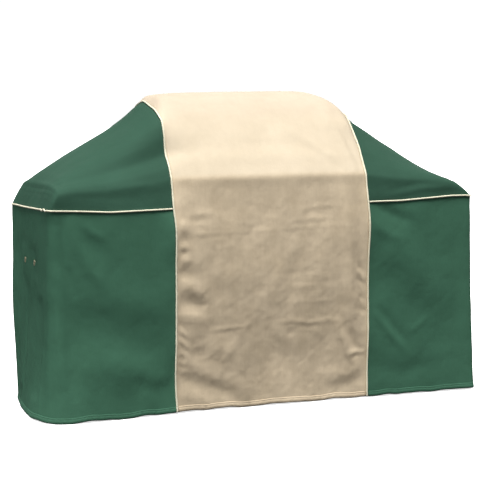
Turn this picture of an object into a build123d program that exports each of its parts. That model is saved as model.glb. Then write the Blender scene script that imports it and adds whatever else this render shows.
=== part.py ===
"""Fitted fabric cover for a cart-style gas grill.

A full-depth centre panel runs from the front hem up over the hood and down to
the rear hem. On each side a tent-shaped top panel falls from the hood to the
side shelf, and a skirt wraps the front, the end and the rear below it. Corded
piping is sewn into every long seam, a bound hem closes the lower edge, each end
has a pair of vent eyelets, and four hook-and-loop straps hang inside.

Millimetres, +Z up, front faces -Y, origin at the centre of the footprint on the
plane of the hem. The cloth is drawn 2 mm thick in the shape it takes in use.
"""

import os
from math import cos, hypot, radians, sin

from build123d import *

os.makedirs("parts", exist_ok=True)

# ---------------------------------------------------------------- dimensions
WIDTH = 1524.0  # over the two end skirts
DEPTH = 508.0  # front skirt to rear skirt
HEIGHT = 1067.0  # hem to the crown over the hood
CLOTH = 2.0  # cloth wall
SEAM_X = 353.0  # centre panel seams, each side of the middle
SEAM_GAP = 0.8  # from a seam line to the cut edge of each panel
SHOULDER_Z = 686.0  # seam between top panel and skirt
CORNER_R = 30.0  # upright corners, in plan

BEAD_R = 2.7  # piping, outside
BEAD_BORE_R = 1.7  # piping, inside
FILLER_R = 1.6  # cord inside the piping
BEAD_OUT = 3.0  # piping centre, outside the cloth face
FLANGE_T = 1.2  # piping flange
FLANGE_W = 8.0  # how far the flange reaches in behind the cloth
PIPE_START = 357.0  # shoulder piping starts here, beside the centre piping

HEM_H = 20.0  # bound hem, height
HEM_T = 1.0  # one leaf of the binding

EYELET_Z = 508.0
EYELET_Y = (-52.0, 78.0)
EYELET_BORE_R = 5.0
EYELET_BARREL_R = 6.0
EYELET_HOLE_R = 6.2
EYELET_RIM_R = 10.0
PATCH_T = 1.5

STRAP_W = 25.0
STRAP_T = 1.5
STRAP_Y = 120.0  # each side of the middle
STRAP_TOP_Z = 329.0  # swing line under the sewn tab
STRAP_FOLD_Z = 205.0  # fold line
STRAP_END_Z = 88.0
TAPE_T = 1.2

HALF_W, HALF_D = WIDTH / 2, DEPTH / 2

# Side profile along the centre seams: front hem, shoulder, shelf fold, hood
# front, crown, hood back, rear hem. (y, z)
SEAM_LINE = [
    (-HALF_D, 1.0),
    (-HALF_D, SHOULDER_Z),
    (-250, 745),
    (-236, 782),
    (-205, 830),
    (-180, 867),
    (-166, 925),
    (-148, 962),
    (-118, 992),
    (-70, 1014),
    (0, 1030),
    (60, 1036),
    (140, 1035),
    (200, 1012),
    (238, 965),
    (251, 900),
    (HALF_D, 790),
    (HALF_D, SHOULDER_Z),
    (HALF_D, 1.0),
]
# The same line 50 mm in from the seam, and over the middle of the hood.
EDGE_LINE = [
    (-HALF_D, 1.0),
    (-HALF_D, SHOULDER_Z),
    (-253, 745),
    (-246, 783),
    (-214, 833),
    (-189, 874),
    (-169, 930),
    (-148, 972),
    (-114, 1006),
    (-66, 1032),
    (0, 1050),
    (60, 1057),
    (140, 1056),
    (203, 1030),
    (240, 978),
    (252, 906),
    (HALF_D, 790),
    (HALF_D, SHOULDER_Z),
    (HALF_D, 1.0),
]
CROWN_LINE = [
    (-HALF_D, 1.0),
    (-HALF_D, SHOULDER_Z),
    (-253.5, 745),
    (-250, 784),
    (-222, 835),
    (-196, 880),
    (-171, 935),
    (-146, 979),
    (-110, 1014),
    (-62, 1041),
    (0, 1060),
    (60, HEIGHT),
    (140, HEIGHT),
    (206, 1040),
    (242, 986),
    (253, 910),
    (HALF_D, 790),
    (HALF_D, SHOULDER_Z),
    (HALF_D, 1.0),
]
# Cross-section over the side shelf, with one point for each of the seam line's
# points above the shoulder.
SHELF_TOP = 748.0
SHELF_LINE = [
    (-HALF_D, SHOULDER_Z),
    (-253.5, 705),
    (-251, 722),
    (-245, 735),
    (-234, 743),
    (-216, 747),
    (-170, 748),
    (-120, 748),
    (-60, 748),
    (0, 748),
    (60, 748),
    (120, 748),
    (190, 747),
    (225, 744),
    (242, 736),
    (251, 718),
    (HALF_D, SHOULDER_Z),
]
# Height of the top panel's ridge against distance from the middle.
RIDGE = [
    (SEAM_X + SEAM_GAP, 1036),
    (385, 985),
    (430, 938),
    (520, 880),
    (620, 818),
    (690, 771),
    (738, 748),
    (756, 726),
    (HALF_W, 702),
]


# ------------------------------------------------------------------- helpers
def offset_line(points, distance):
    """Move an open line outwards by distance, with mitred corners."""
    moved = []
    for i, (y, z) in enumerate(points):
        runs = []
        if i > 0:
            runs.append((y - points[i - 1][0], z - points[i - 1][1]))
        if i < len(points) - 1:
            runs.append((points[i + 1][0] - y, points[i + 1][1] - z))
        normals = [(-dz / hypot(dy, dz), dy / hypot(dy, dz)) for dy, dz in runs]
        my = sum(n[0] for n in normals) / len(normals)
        mz = sum(n[1] for n in normals) / len(normals)
        size = my * my + mz * mz
        moved.append((y + distance * my / size, z + distance * mz / size))
    return moved


def bent_only(points):
    """Leave out points in line with their neighbours."""
    kept = [points[0]]
    for before, here, after in zip(points, points[1:], points[2:]):
        ay, az = here[0] - before[0], here[1] - before[1]
        by, bz = after[0] - here[0], after[1] - here[1]
        if abs(ay * bz - az * by) > 1e-3 * hypot(ay, az) * hypot(by, bz):
            kept.append(here)
    kept.append(points[-1])
    return kept


def wall_section(line):
    """Closed outline of the cloth wall along a line."""
    return line + offset_line(line, -CLOTH)[::-1]


def tent_line(x, ridge):
    """Cross-section of a top panel where its ridge has this height."""
    seam = [(y, z) for y, z in SEAM_LINE if z >= SHOULDER_Z]
    if ridge >= SHELF_TOP:
        t = (1036 - ridge) / (1036 - SHELF_TOP)
        line = [
            ((1 - t) * a[0] + t * b[0], (1 - t) * a[1] + t * b[1])
            for a, b in zip(seam, SHELF_LINE)
        ]
    else:
        k = (ridge - SHOULDER_Z) / (SHELF_TOP - SHOULDER_Z)
        line = [(y, SHOULDER_Z + k * (z - SHOULDER_Z)) for y, z in SHELF_LINE]
    return line


def footprint(grow, x_from):
    """Right half of the rounded plan outline, grown, as a sketch in place."""
    with Locations((x_from + (HALF_W + grow - x_from) / 2, 0)):
        Rectangle(HALF_W + grow - x_from, DEPTH + 2 * grow)


def corner_waste(inset, side):
    """Outline of what lies outside a rounded plan corner of the right end."""
    radius = CORNER_R - inset
    cx, cy = HALF_W - CORNER_R, HALF_D - CORNER_R
    arc = [
        (cx + radius * cos(radians(a)), side * (cy + radius * sin(radians(a))))
        for a in range(0, 91, 15)
    ]
    return [
        (arc[0][0] + 9, arc[0][1]),
        *arc,
        (arc[-1][0], arc[-1][1] + 9 * side),
        (arc[0][0] + 9, arc[-1][1] + 9 * side),
    ]


# -------------------------------------------------------------- centre panel
edge = SEAM_X - SEAM_GAP
with BuildPart() as centre_panel:
    for x, line in (
        (-edge, SEAM_LINE),
        (-300, EDGE_LINE),
        (-235, CROWN_LINE),
        (235, CROWN_LINE),
        (300, EDGE_LINE),
        (edge, SEAM_LINE),
    ):
        with BuildSketch(Plane.YZ.offset(x)):
            with BuildLine():
                Polyline(*wall_section(line), close=True)
            make_face()
    loft(ruled=True)
centre_panel.part.label = "centre_panel"

# ---------------------------------------------------------------- top panels
# The space under the right top panel, taken out of its outer shape below.
with BuildPart() as right_top_space:
    for x, ridge in RIDGE:
        line = offset_line(tent_line(x, ridge), -CLOTH)
        line = [(line[0][0], SHOULDER_Z - 30)] + line + [(line[-1][0], SHOULDER_Z - 30)]
        inner_x = x - CLOTH if x > 730 else (SEAM_X - 20 if x < SEAM_X + 5 else x)
        with BuildSketch(Plane.YZ.offset(inner_x)):
            with BuildLine():
                Polyline(*line, close=True)
            make_face()
    loft(ruled=True)
    with BuildSketch(Plane.XY.offset(SHOULDER_Z - 50)):
        Polygon(*corner_waste(CLOTH, 1), align=None)
        Polygon(*corner_waste(CLOTH, -1), align=None)
    extrude(amount=500, mode=Mode.SUBTRACT)

with BuildPart() as right_top_panel:
    for x, ridge in RIDGE:
        line = tent_line(x, ridge)
        line = [(line[0][0], SHOULDER_Z - 20)] + line + [(line[-1][0], SHOULDER_Z - 20)]
        with BuildSketch(Plane.YZ.offset(x)):
            with BuildLine():
                Polyline(*line, close=True)
            make_face()
    loft(ruled=True)
    with BuildSketch(Plane.XY.offset(SHOULDER_Z - 50)):
        Polygon(*corner_waste(0, 1), align=None)
        Polygon(*corner_waste(0, -1), align=None)
    extrude(amount=500, mode=Mode.SUBTRACT)
    add(right_top_space.part, mode=Mode.SUBTRACT)
    with BuildSketch(Plane.XY.offset(SHOULDER_Z - 60)):  # level lower edge
        with Locations((SEAM_X + 200, 0)):
            Rectangle(600, DEPTH + 40)
    extrude(amount=60 + SEAM_GAP, mode=Mode.SUBTRACT)
right_top_panel.part.label = "right_top_panel"

with BuildPart() as left_top_panel:
    mirror(right_top_panel.part, about=Plane.YZ)
left_top_panel.part.label = "left_top_panel"

# -------------------------------------------------------------------- skirts
with BuildPart() as right_skirt:
    with BuildSketch(Plane.XY.offset(HEM_T)) as skirt_plan:
        footprint(0, SEAM_X + SEAM_GAP)
        fillet(skirt_plan.vertices().group_by(Axis.X)[-1], radius=CORNER_R)
    extrude(amount=SHOULDER_Z - SEAM_GAP - HEM_T)
    with BuildSketch(Plane.XY.offset(-10)) as skirt_space:
        footprint(-CLOTH, SEAM_X - 60)
        fillet(skirt_space.vertices().group_by(Axis.X)[-1], radius=CORNER_R - CLOTH)
    extrude(amount=SHOULDER_Z + 40, mode=Mode.SUBTRACT)
    with BuildSketch(Plane.YZ.offset(HALF_W - 10)):
        with Locations(*[(y, EYELET_Z) for y in EYELET_Y]):
            Circle(EYELET_HOLE_R)
    extrude(amount=20, mode=Mode.SUBTRACT)
right_skirt.part.label = "right_skirt"

with BuildPart() as left_skirt:
    mirror(right_skirt.part, about=Plane.YZ)
left_skirt.part.label = "left_skirt"

# ------------------------------------------------------------- seam piping
# A folded strip: the bead stands proud of the seam, and the flange is caught
# between the two panels.
bead_line = bent_only(offset_line(SEAM_LINE, BEAD_OUT))
flange_line = offset_line(SEAM_LINE, 1.0) + offset_line(SEAM_LINE, -FLANGE_W)[::-1]
with BuildPart() as right_centre_piping:
    with BuildLine(Plane.YZ.offset(SEAM_X)) as centre_run:
        FilletPolyline(*bead_line, radius=8)
    with BuildSketch(Plane(origin=centre_run.line @ 0, z_dir=centre_run.line % 0)):
        Circle(BEAD_R)
        Circle(BEAD_BORE_R, mode=Mode.SUBTRACT)
    sweep(path=centre_run.line)
    with BuildSketch(Plane.YZ.offset(SEAM_X - FLANGE_T / 2)):
        with BuildLine():
            Polyline(*flange_line, close=True)
        make_face()
    extrude(amount=FLANGE_T)
right_centre_piping.part.label = "right_centre_piping"

with BuildPart() as left_centre_piping:
    mirror(right_centre_piping.part, about=Plane.YZ)
left_centre_piping.part.label = "left_centre_piping"

with BuildPart() as right_centre_piping_cord:
    with BuildLine(Plane.YZ.offset(SEAM_X)) as centre_cord_run:
        FilletPolyline(*bead_line, radius=8)
    with BuildSketch(Plane(origin=centre_cord_run.line @ 0, z_dir=centre_cord_run.line % 0)):
        Circle(FILLER_R)
    sweep(path=centre_cord_run.line)
right_centre_piping_cord.part.label = "right_centre_piping_cord"

with BuildPart() as left_centre_piping_cord:
    mirror(right_centre_piping_cord.part, about=Plane.YZ)
left_centre_piping_cord.part.label = "left_centre_piping_cord"

shoulder_points = [
    (PIPE_START, -HALF_D - BEAD_OUT),
    (HALF_W + BEAD_OUT, -HALF_D - BEAD_OUT),
    (HALF_W + BEAD_OUT, HALF_D + BEAD_OUT),
    (PIPE_START, HALF_D + BEAD_OUT),
]
with BuildPart() as right_shoulder_piping:
    with BuildLine(Plane.XY.offset(SHOULDER_Z)) as shoulder_run:
        FilletPolyline(*shoulder_points, radius=CORNER_R + BEAD_OUT)
    with BuildSketch(Plane(origin=shoulder_run.line @ 0, z_dir=shoulder_run.line % 0)):
        Circle(BEAD_R)
        Circle(BEAD_BORE_R, mode=Mode.SUBTRACT)
    sweep(path=shoulder_run.line)
    with BuildSketch(Plane.XY.offset(SHOULDER_Z - FLANGE_T / 2)) as flange_plan:
        footprint(1.0, PIPE_START)
        fillet(flange_plan.vertices().group_by(Axis.X)[-1], radius=CORNER_R + 1.0)
        with Locations((PIPE_START + (HALF_W - FLANGE_W - PIPE_START) / 2 - 20, 0)):
            RectangleRounded(
                HALF_W - FLANGE_W - PIPE_START + 40,
                DEPTH - 2 * FLANGE_W,
                radius=CORNER_R - FLANGE_W,
                mode=Mode.SUBTRACT,
            )
    extrude(amount=FLANGE_T)
right_shoulder_piping.part.label = "right_shoulder_piping"

with BuildPart() as left_shoulder_piping:
    mirror(right_shoulder_piping.part, about=Plane.YZ)
left_shoulder_piping.part.label = "left_shoulder_piping"

with BuildPart() as right_shoulder_piping_cord:
    with BuildLine(Plane.XY.offset(SHOULDER_Z)) as shoulder_cord_run:
        FilletPolyline(*shoulder_points, radius=CORNER_R + BEAD_OUT)
    with BuildSketch(Plane(origin=shoulder_cord_run.line @ 0, z_dir=shoulder_cord_run.line % 0)):
        Circle(FILLER_R)
    sweep(path=shoulder_cord_run.line)
right_shoulder_piping_cord.part.label = "right_shoulder_piping_cord"

with BuildPart() as left_shoulder_piping_cord:
    mirror(right_shoulder_piping_cord.part, about=Plane.YZ)
left_shoulder_piping_cord.part.label = "left_shoulder_piping_cord"

# --------------------------------------------------------------------- hems
# A strip folded round the lower edge: outer leaf, fold underneath, inner leaf.
hem_half = SEAM_X - 4.0
with BuildPart() as centre_front_hem:
    with BuildSketch(Plane.XY):
        with Locations((0, -HALF_D + CLOTH / 2)):
            Rectangle(2 * hem_half, CLOTH + 2 * HEM_T)
    extrude(amount=HEM_H)
    with BuildSketch(Plane.XY.offset(HEM_T)):
        with Locations((0, -HALF_D + CLOTH / 2)):
            Rectangle(2 * hem_half + 10, CLOTH)
    extrude(amount=HEM_H, mode=Mode.SUBTRACT)
centre_front_hem.part.label = "centre_front_hem"

with BuildPart() as centre_rear_hem:
    mirror(centre_front_hem.part, about=Plane.XZ)
centre_rear_hem.part.label = "centre_rear_hem"

with BuildPart() as right_skirt_hem:
    with BuildSketch(Plane.XY) as hem_plan:
        footprint(HEM_T, SEAM_X + 4.0)
        fillet(hem_plan.vertices().group_by(Axis.X)[-1], radius=CORNER_R + HEM_T)
    extrude(amount=HEM_H)
    with BuildSketch(Plane.XY.offset(-5)) as hem_space:
        footprint(-CLOTH - HEM_T, SEAM_X - 60)
        fillet(
            hem_space.vertices().group_by(Axis.X)[-1], radius=CORNER_R - CLOTH - HEM_T
        )
    extrude(amount=HEM_H + 20, mode=Mode.SUBTRACT)
    with BuildSketch(Plane.XY.offset(HEM_T)) as hem_slot:
        footprint(0, SEAM_X - 60)
        fillet(hem_slot.vertices().group_by(Axis.X)[-1], radius=CORNER_R)
        with Locations((SEAM_X - 80 + (HALF_W - CLOTH - SEAM_X + 80) / 2, 0)):
            RectangleRounded(
                HALF_W - CLOTH - SEAM_X + 80,
                DEPTH - 2 * CLOTH,
                radius=CORNER_R - CLOTH,
                mode=Mode.SUBTRACT,
            )
    extrude(amount=HEM_H, mode=Mode.SUBTRACT)
right_skirt_hem.part.label = "right_skirt_hem"

with BuildPart() as left_skirt_hem:
    mirror(right_skirt_hem.part, about=Plane.YZ)
left_skirt_hem.part.label = "left_skirt_hem"

# ------------------------------------------------------------ vent eyelets
patch_face = HALF_W - CLOTH - PATCH_T  # inner face of the patch
with BuildPart() as right_eyelet_patch:
    with BuildSketch(Plane.YZ.offset(patch_face)):
        with Locations((sum(EYELET_Y) / 2, EYELET_Z)):
            RectangleRounded(EYELET_Y[1] - EYELET_Y[0] + 50, 50, radius=8)
        with Locations(*[(y, EYELET_Z) for y in EYELET_Y]):
            Circle(EYELET_HOLE_R, mode=Mode.SUBTRACT)
    extrude(amount=PATCH_T)
right_eyelet_patch.part.label = "right_eyelet_patch"

with BuildPart() as left_eyelet_patch:
    mirror(right_eyelet_patch.part, about=Plane.YZ)
left_eyelet_patch.part.label = "left_eyelet_patch"

washer_face = patch_face - 1.0
with BuildPart() as right_vent_washers:
    with BuildSketch(Plane.YZ.offset(washer_face)):
        with Locations(*[(y, EYELET_Z) for y in EYELET_Y]):
            Circle(EYELET_RIM_R)
            Circle(EYELET_HOLE_R, mode=Mode.SUBTRACT)
    extrude(amount=1.0)
right_vent_washers.part.label = "right_vent_washers"

with BuildPart() as left_vent_washers:
    mirror(right_vent_washers.part, about=Plane.YZ)
left_vent_washers.part.label = "left_vent_washers"

clinch_face = washer_face - 1.0
with BuildPart() as right_vent_eyelets:
    with BuildSketch(Plane.YZ.offset(HALF_W)):  # outer rim
        with Locations(*[(y, EYELET_Z) for y in EYELET_Y]):
            Circle(EYELET_RIM_R)
            Circle(EYELET_BORE_R, mode=Mode.SUBTRACT)
    extrude(amount=1.2)
    with BuildSketch(Plane.YZ.offset(clinch_face)):  # barrel
        with Locations(*[(y, EYELET_Z) for y in EYELET_Y]):
            Circle(EYELET_BARREL_R)
            Circle(EYELET_BORE_R, mode=Mode.SUBTRACT)
    extrude(amount=HALF_W - clinch_face)
    with BuildSketch(Plane.YZ.offset(clinch_face)):  # clinched end
        with Locations(*[(y, EYELET_Z) for y in EYELET_Y]):
            Circle(EYELET_BARREL_R + 1.6)
            Circle(EYELET_BORE_R, mode=Mode.SUBTRACT)
    extrude(amount=1.0)
right_vent_eyelets.part.label = "right_vent_eyelets"

with BuildPart() as left_vent_eyelets:
    mirror(right_vent_eyelets.part, about=Plane.YZ)
left_vent_eyelets.part.label = "left_vent_eyelets"

# ------------------------------------------------------------------- straps
# Each strap hangs from a tab sewn to a patch inside the end skirt. It swings on
# the line under the tab and folds on a line half way down, so that the hook
# tape on its end meets the loop tape above.
tab_x = patch_face - STRAP_T  # inner face of the sewn tab
strap_x = tab_x - 0.3  # inner face of the hanging strap
strap_nodes = []
for end, side in (("right", 1), ("left", -1)):
    for row, y in (("front", -STRAP_Y), ("rear", STRAP_Y)):
        name = f"{end}_{row}_strap"

        with BuildPart() as strap_anchor:
            with BuildSketch(Plane.YZ.offset(patch_face)):
                with Locations((y, STRAP_TOP_Z + 17)):
                    RectangleRounded(STRAP_W + 20, 46, radius=5)
            extrude(amount=PATCH_T)
            with BuildSketch(Plane.YZ.offset(tab_x)):
                with Locations((y, STRAP_TOP_Z + 1 + 15)):
                    Rectangle(STRAP_W, 30)
            extrude(amount=STRAP_T)
            if side < 0:
                mirror(about=Plane.YZ, mode=Mode.REPLACE)
        strap_anchor.part.label = name + "_anchor"
        strap_nodes.append(strap_anchor.part)

        with BuildPart() as strap_upper:
            with BuildSketch(Plane.YZ.offset(strap_x)):
                with Locations((y, (STRAP_TOP_Z + STRAP_FOLD_Z) / 2)):
                    Rectangle(STRAP_W, STRAP_TOP_Z - STRAP_FOLD_Z)
            extrude(amount=STRAP_T)
            if side < 0:
                mirror(about=Plane.YZ, mode=Mode.REPLACE)
        strap_upper.part.label = name + "_upper"
        strap_nodes.append(strap_upper.part)

        with BuildPart() as strap_loop_tape:
            with BuildSketch(Plane.YZ.offset(strap_x - TAPE_T)):
                with Locations((y, STRAP_FOLD_Z + 14 + 45)):
                    RectangleRounded(STRAP_W - 3, 90, radius=1.5)
            extrude(amount=TAPE_T)
            if side < 0:
                mirror(about=Plane.YZ, mode=Mode.REPLACE)
        strap_loop_tape.part.label = name + "_loop_tape"
        strap_nodes.append(strap_loop_tape.part)

        with BuildPart() as strap_lower:
            with BuildSketch(Plane.YZ.offset(strap_x)) as strap_end:
                with Locations((y, (STRAP_FOLD_Z - 0.5 + STRAP_END_Z) / 2)):
                    Rectangle(STRAP_W, STRAP_FOLD_Z - 0.5 - STRAP_END_Z)
                fillet(strap_end.vertices().group_by(Axis.Z)[0], radius=6)
            extrude(amount=STRAP_T)
            if side < 0:
                mirror(about=Plane.YZ, mode=Mode.REPLACE)
        strap_lower.part.label = name + "_lower"
        strap_nodes.append(strap_lower.part)

        with BuildPart() as strap_hook_tape:
            with BuildSketch(Plane.YZ.offset(strap_x - TAPE_T)):
                with Locations((y, STRAP_END_Z + 8 + 25)):
                    RectangleRounded(STRAP_W - 3, 50, radius=4)
            extrude(amount=TAPE_T)
            if side < 0:
                mirror(about=Plane.YZ, mode=Mode.REPLACE)
        strap_hook_tape.part.label = name + "_hook_tape"
        strap_nodes.append(strap_hook_tape.part)

# ------------------------------------------------------------------- export
for piece in (
    centre_panel.part,
    left_top_panel.part,
    right_top_panel.part,
    left_skirt.part,
    right_skirt.part,
    left_centre_piping.part,
    right_centre_piping.part,
    left_centre_piping_cord.part,
    right_centre_piping_cord.part,
    left_shoulder_piping.part,
    right_shoulder_piping.part,
    left_shoulder_piping_cord.part,
    right_shoulder_piping_cord.part,
    centre_front_hem.part,
    centre_rear_hem.part,
    left_skirt_hem.part,
    right_skirt_hem.part,
    left_eyelet_patch.part,
    right_eyelet_patch.part,
    left_vent_eyelets.part,
    right_vent_eyelets.part,
    left_vent_washers.part,
    right_vent_washers.part,
    *strap_nodes,
):
    export_step(piece, f"parts/{piece.label}.step")
    print(piece.label, round(piece.volume / 1000, 2), "cm3")
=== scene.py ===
import math

import bpy
import numpy as np
from mathutils import Matrix, Vector


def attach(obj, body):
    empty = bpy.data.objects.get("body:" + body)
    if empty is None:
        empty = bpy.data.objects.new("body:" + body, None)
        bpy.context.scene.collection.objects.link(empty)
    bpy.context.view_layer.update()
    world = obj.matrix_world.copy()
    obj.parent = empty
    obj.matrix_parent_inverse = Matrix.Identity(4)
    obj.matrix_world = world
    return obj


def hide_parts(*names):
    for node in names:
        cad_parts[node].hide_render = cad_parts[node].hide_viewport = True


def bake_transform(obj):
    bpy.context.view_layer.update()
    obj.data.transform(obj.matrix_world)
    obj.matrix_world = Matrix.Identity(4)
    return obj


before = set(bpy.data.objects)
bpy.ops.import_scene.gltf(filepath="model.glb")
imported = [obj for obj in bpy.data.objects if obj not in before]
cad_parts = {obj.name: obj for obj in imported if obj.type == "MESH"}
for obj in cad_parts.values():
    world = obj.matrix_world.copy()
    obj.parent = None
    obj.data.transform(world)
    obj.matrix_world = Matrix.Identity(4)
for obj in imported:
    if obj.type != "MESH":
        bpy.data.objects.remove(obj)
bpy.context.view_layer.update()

# ---------------------------------------------------------------- geometry begin
# Side profiles, front hem over the hood to the rear hem, as (y, z) in mm. The
# three lists share their indices, so the same number is the same fold.
LEFT_SEAM = [
    (-251, 0), (-240, 110), (-253, 245), (-262, 387), (-267, 500), (-271, 611),
    (-249, 684), (-237, 744), (-230, 777), (-225, 788), (-211, 815), (-194, 836),
    (-172, 865), (-161, 925), (-143, 965), (-116, 984), (-67, 1006), (-7, 1021),
    (56, 1035), (110, 1030), (160, 1014), (205, 980), (238, 925), (250, 860),
    (254, 780), (254, 686), (253, 400), (254, 0),
]
MIDDLE = [
    (-240, 0), (-244, 110), (-253, 245), (-261, 387), (-264, 500), (-262, 611),
    (-257, 684), (-254, 744), (-253.5, 779), (-249, 791), (-234, 817), (-217, 847),
    (-194, 881), (-163, 930), (-134, 974), (-101, 1014), (-60, 1044), (-6, 1062),
    (58, 1068), (120, 1068), (172, 1058), (218, 1025), (243, 970), (252, 890),
    (254, 785), (254, 686), (254, 400), (254, 0),
]
RIGHT_SEAM = [
    (-239, 0), (-239, 110), (-247, 245), (-249, 387), (-256, 500), (-271, 600),
    (-257, 684), (-244.5, 744), (-239, 777), (-233, 788), (-213, 820), (-197, 845),
    (-180, 872), (-134, 922), (-100, 957), (-74, 979), (-50, 982), (-10, 988),
    (50, 990), (110, 987), (160, 972), (208, 944), (238, 905), (250, 850),
    (254, 780), (254, 686), (253, 400), (254, 0),
]
# Cross-section over the side shelf, for indices 6 to 25.
SHELF = [
    (-254, 684), (-252.5, 716), (-250, 731), (-245, 740), (-233, 747), (-215, 751),
    (-190, 753), (-155, 754), (-118, 754), (-80, 754), (-40, 754), (0, 754),
    (45, 754), (90, 754), (135, 754), (180, 754), (215, 752), (240, 744),
    (251, 722), (254, 686),
]
SEAM_X = {-1: -0.338, 1: 0.364}
END_X = 0.762
FRONT_Y = -0.254
I_SHOULDER, I_REAR, I_LAST = 6, 25, 27
# Share of the way from seam section to shelf section against x.
TENT = {
    -1: [(-0.338, 0.0), (-0.395, 0.175), (-0.455, 0.323), (-0.515, 0.443), (-0.615, 0.653),
         (-0.70, 0.858), (-0.735, 0.988)],
    1: [(0.364, 0.0), (0.374, 0.07), (0.40, 0.145), (0.44, 0.250), (0.50, 0.434), (0.56, 0.60), (0.62, 0.80),
        (0.68, 1.0), (0.74, 1.06)],
}
# Height share left near the end, where the panel turns down to the piping.
END_DROP = {
    -1: [(-0.70, 1.0), (-0.728, 0.98), (-0.738, 0.80), (-0.748, 0.50), (-0.756, 0.22), (-0.762, 0.0)],
    1: [(0.655, 1.0), (0.69, 0.93), (0.716, 0.80), (0.736, 0.50), (0.750, 0.24), (0.762, 0.0)],
}
# Plan of the lower edge of each skirt, front seam to rear seam: the left end
# stands out in a round sweep, the right front corner is square.
HEM_PLAN = {
    -1: [(0.335, -0.246), (0.44, -0.260), (0.545, -0.270), (0.615, -0.275), (0.695, -0.278),
         (0.743, -0.268), (0.777, -0.240), (0.794, -0.195), (0.802, -0.13), (0.802, -0.06),
         (0.796, 0.03), (0.789, 0.10), (0.776, 0.16), (0.764, 0.212), (0.753, 0.241),
         (0.736, 0.254), (0.70, 0.258), (0.62, 0.257), (0.48, 0.256), (0.338, 0.254)],
    1: [(0.362, -0.2465), (0.43, -0.249), (0.50, -0.251), (0.64, -0.254), (0.72, -0.257),
        (0.757, -0.260), (0.768, -0.256), (0.771, -0.245), (0.770, -0.15), (0.768, 0.0), (0.766, 0.12),
        (0.758, 0.20), (0.735, 0.240), (0.695, 0.256), (0.60, 0.259), (0.364, 0.254)],
}
SHOULDER_FRONT = [
    (-0.762, 0.6915), (-0.73, 0.690), (-0.659, 0.687), (-0.556, 0.6805), (-0.457, 0.682),
    (-0.338, 0.684), (0.364, 0.684), (0.491, 0.684), (0.608, 0.690), (0.687, 0.6945),
    (0.743, 0.694), (0.762, 0.692),
]


def smooth(a, b, v):
    s = np.clip((np.asarray(v, float) - a) / (b - a), 0, 1)
    return s * s * (3 - 2 * s)


def run(points, t):
    """Smooth curve through points at whole-number parameters."""
    p = np.asarray(points, float)
    t = np.clip(np.asarray(t, float), 0, len(p) - 1)
    i = np.minimum(t.astype(int), len(p) - 2)
    f = (t - i)[..., None]
    a, b = p[i], p[i + 1]
    ma = 0.5 * (p[i + 1] - p[np.maximum(i - 1, 0)])
    mb = 0.5 * (p[np.minimum(i + 2, len(p) - 1)] - p[i])
    # keep the tangents short where neighbouring spans differ in length
    la = np.linalg.norm(ma, axis=-1, keepdims=True) + 1e-9
    lb = np.linalg.norm(mb, axis=-1, keepdims=True) + 1e-9
    span = np.linalg.norm(b - a, axis=-1, keepdims=True)
    ma = ma * np.minimum(1, 1.1 * span / la)
    mb = mb * np.minimum(1, 1.1 * span / lb)
    f2, f3 = f * f, f * f * f
    return (2 * f3 - 3 * f2 + 1) * a + (f3 - 2 * f2 + f) * ma + (3 * f2 - 2 * f3) * b + (f3 - f2) * mb


def table_at(table, v):
    t = sorted(table)
    return np.interp(v, [a for a, _ in t], [b for _, b in t])


def seam(side, t):
    """A centre seam as (n, 3) points in metres."""
    t = np.atleast_1d(np.asarray(t, float))
    p = run(LEFT_SEAM if side < 0 else RIGHT_SEAM, t) / 1000
    y, z = p[:, 0], p[:, 1]
    k = (1 - smooth(0.66, 0.75, z)) * (t < 13)
    dy = k * 0.5 * (FRONT_Y - y)
    return np.stack([SEAM_X[side] + 0.387 * dy, y + dy, z], 1)


def seam_index_at(side, z, rear=False):
    """Seam parameter where the front or rear run has this height."""
    t = np.linspace(I_REAR, I_LAST, 400) if rear else np.linspace(0, I_SHOULDER + 0.6, 600)
    zz = seam(side, t)[:, 2]
    if rear:
        return np.interp(z, zz[::-1], t[::-1])
    return np.interp(z, zz, t)


def even(t0, t1, step):
    """Parameters from t0 to t1, evenly spaced along the middle profile."""
    t = np.linspace(t0, t1, 3000)
    p = (run(MIDDLE, t) + 0.5 * run(LEFT_SEAM, t) + 0.5 * run(RIGHT_SEAM, t)) / 2000
    s = np.concatenate([[0], np.cumsum(np.linalg.norm(np.diff(p, axis=0), axis=1))])
    n = max(3, int(round(s[-1] / step)) + 1)
    return np.interp(np.linspace(0, s[-1], n), s, t)


# ------------------------------------------------------------ folds and wrinkles
def stroke_field(strokes, x, z):
    """Sum of soft ridges (+) and valleys (-) drawn as lines in the x, z plane."""
    total = np.zeros_like(x)
    for amount, width, line in strokes:
        line = np.asarray(line, float)
        if len(line) == 1:
            line = np.vstack([line, line + [[1e-4, 0]]])
        lo, hi = line.min(0) - 4 * width, line.max(0) + 4 * width
        near = (x > lo[0]) & (x < hi[0]) & (z > lo[1]) & (z < hi[1])
        if not near.any():
            continue
        q = np.stack([x[near], z[near]], 1)
        seg = np.linalg.norm(np.diff(line, axis=0), axis=1)
        cum = np.concatenate([[0], np.cumsum(seg)])
        best = np.full(len(q), 1e9)
        along = np.zeros(len(q))
        for i, (a, b) in enumerate(zip(line, line[1:])):
            d = b - a
            t = np.clip(((q - a) @ d) / (d @ d), 0, 1)
            r = np.linalg.norm(q - a - t[:, None] * d, axis=1)
            closer = r < best
            best[closer] = r[closer]
            along[closer] = (cum[i] + t * seg[i])[closer]
        s = along / cum[-1]
        taper = 0.35 + 0.65 * np.sin(np.pi * np.clip(s, 0, 1)) ** 0.7
        if cum[-1] < 2 * width:
            taper = 1.0
        total[near] += amount * taper * np.exp(-0.5 * (best / width) ** 2)
    return total


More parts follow.
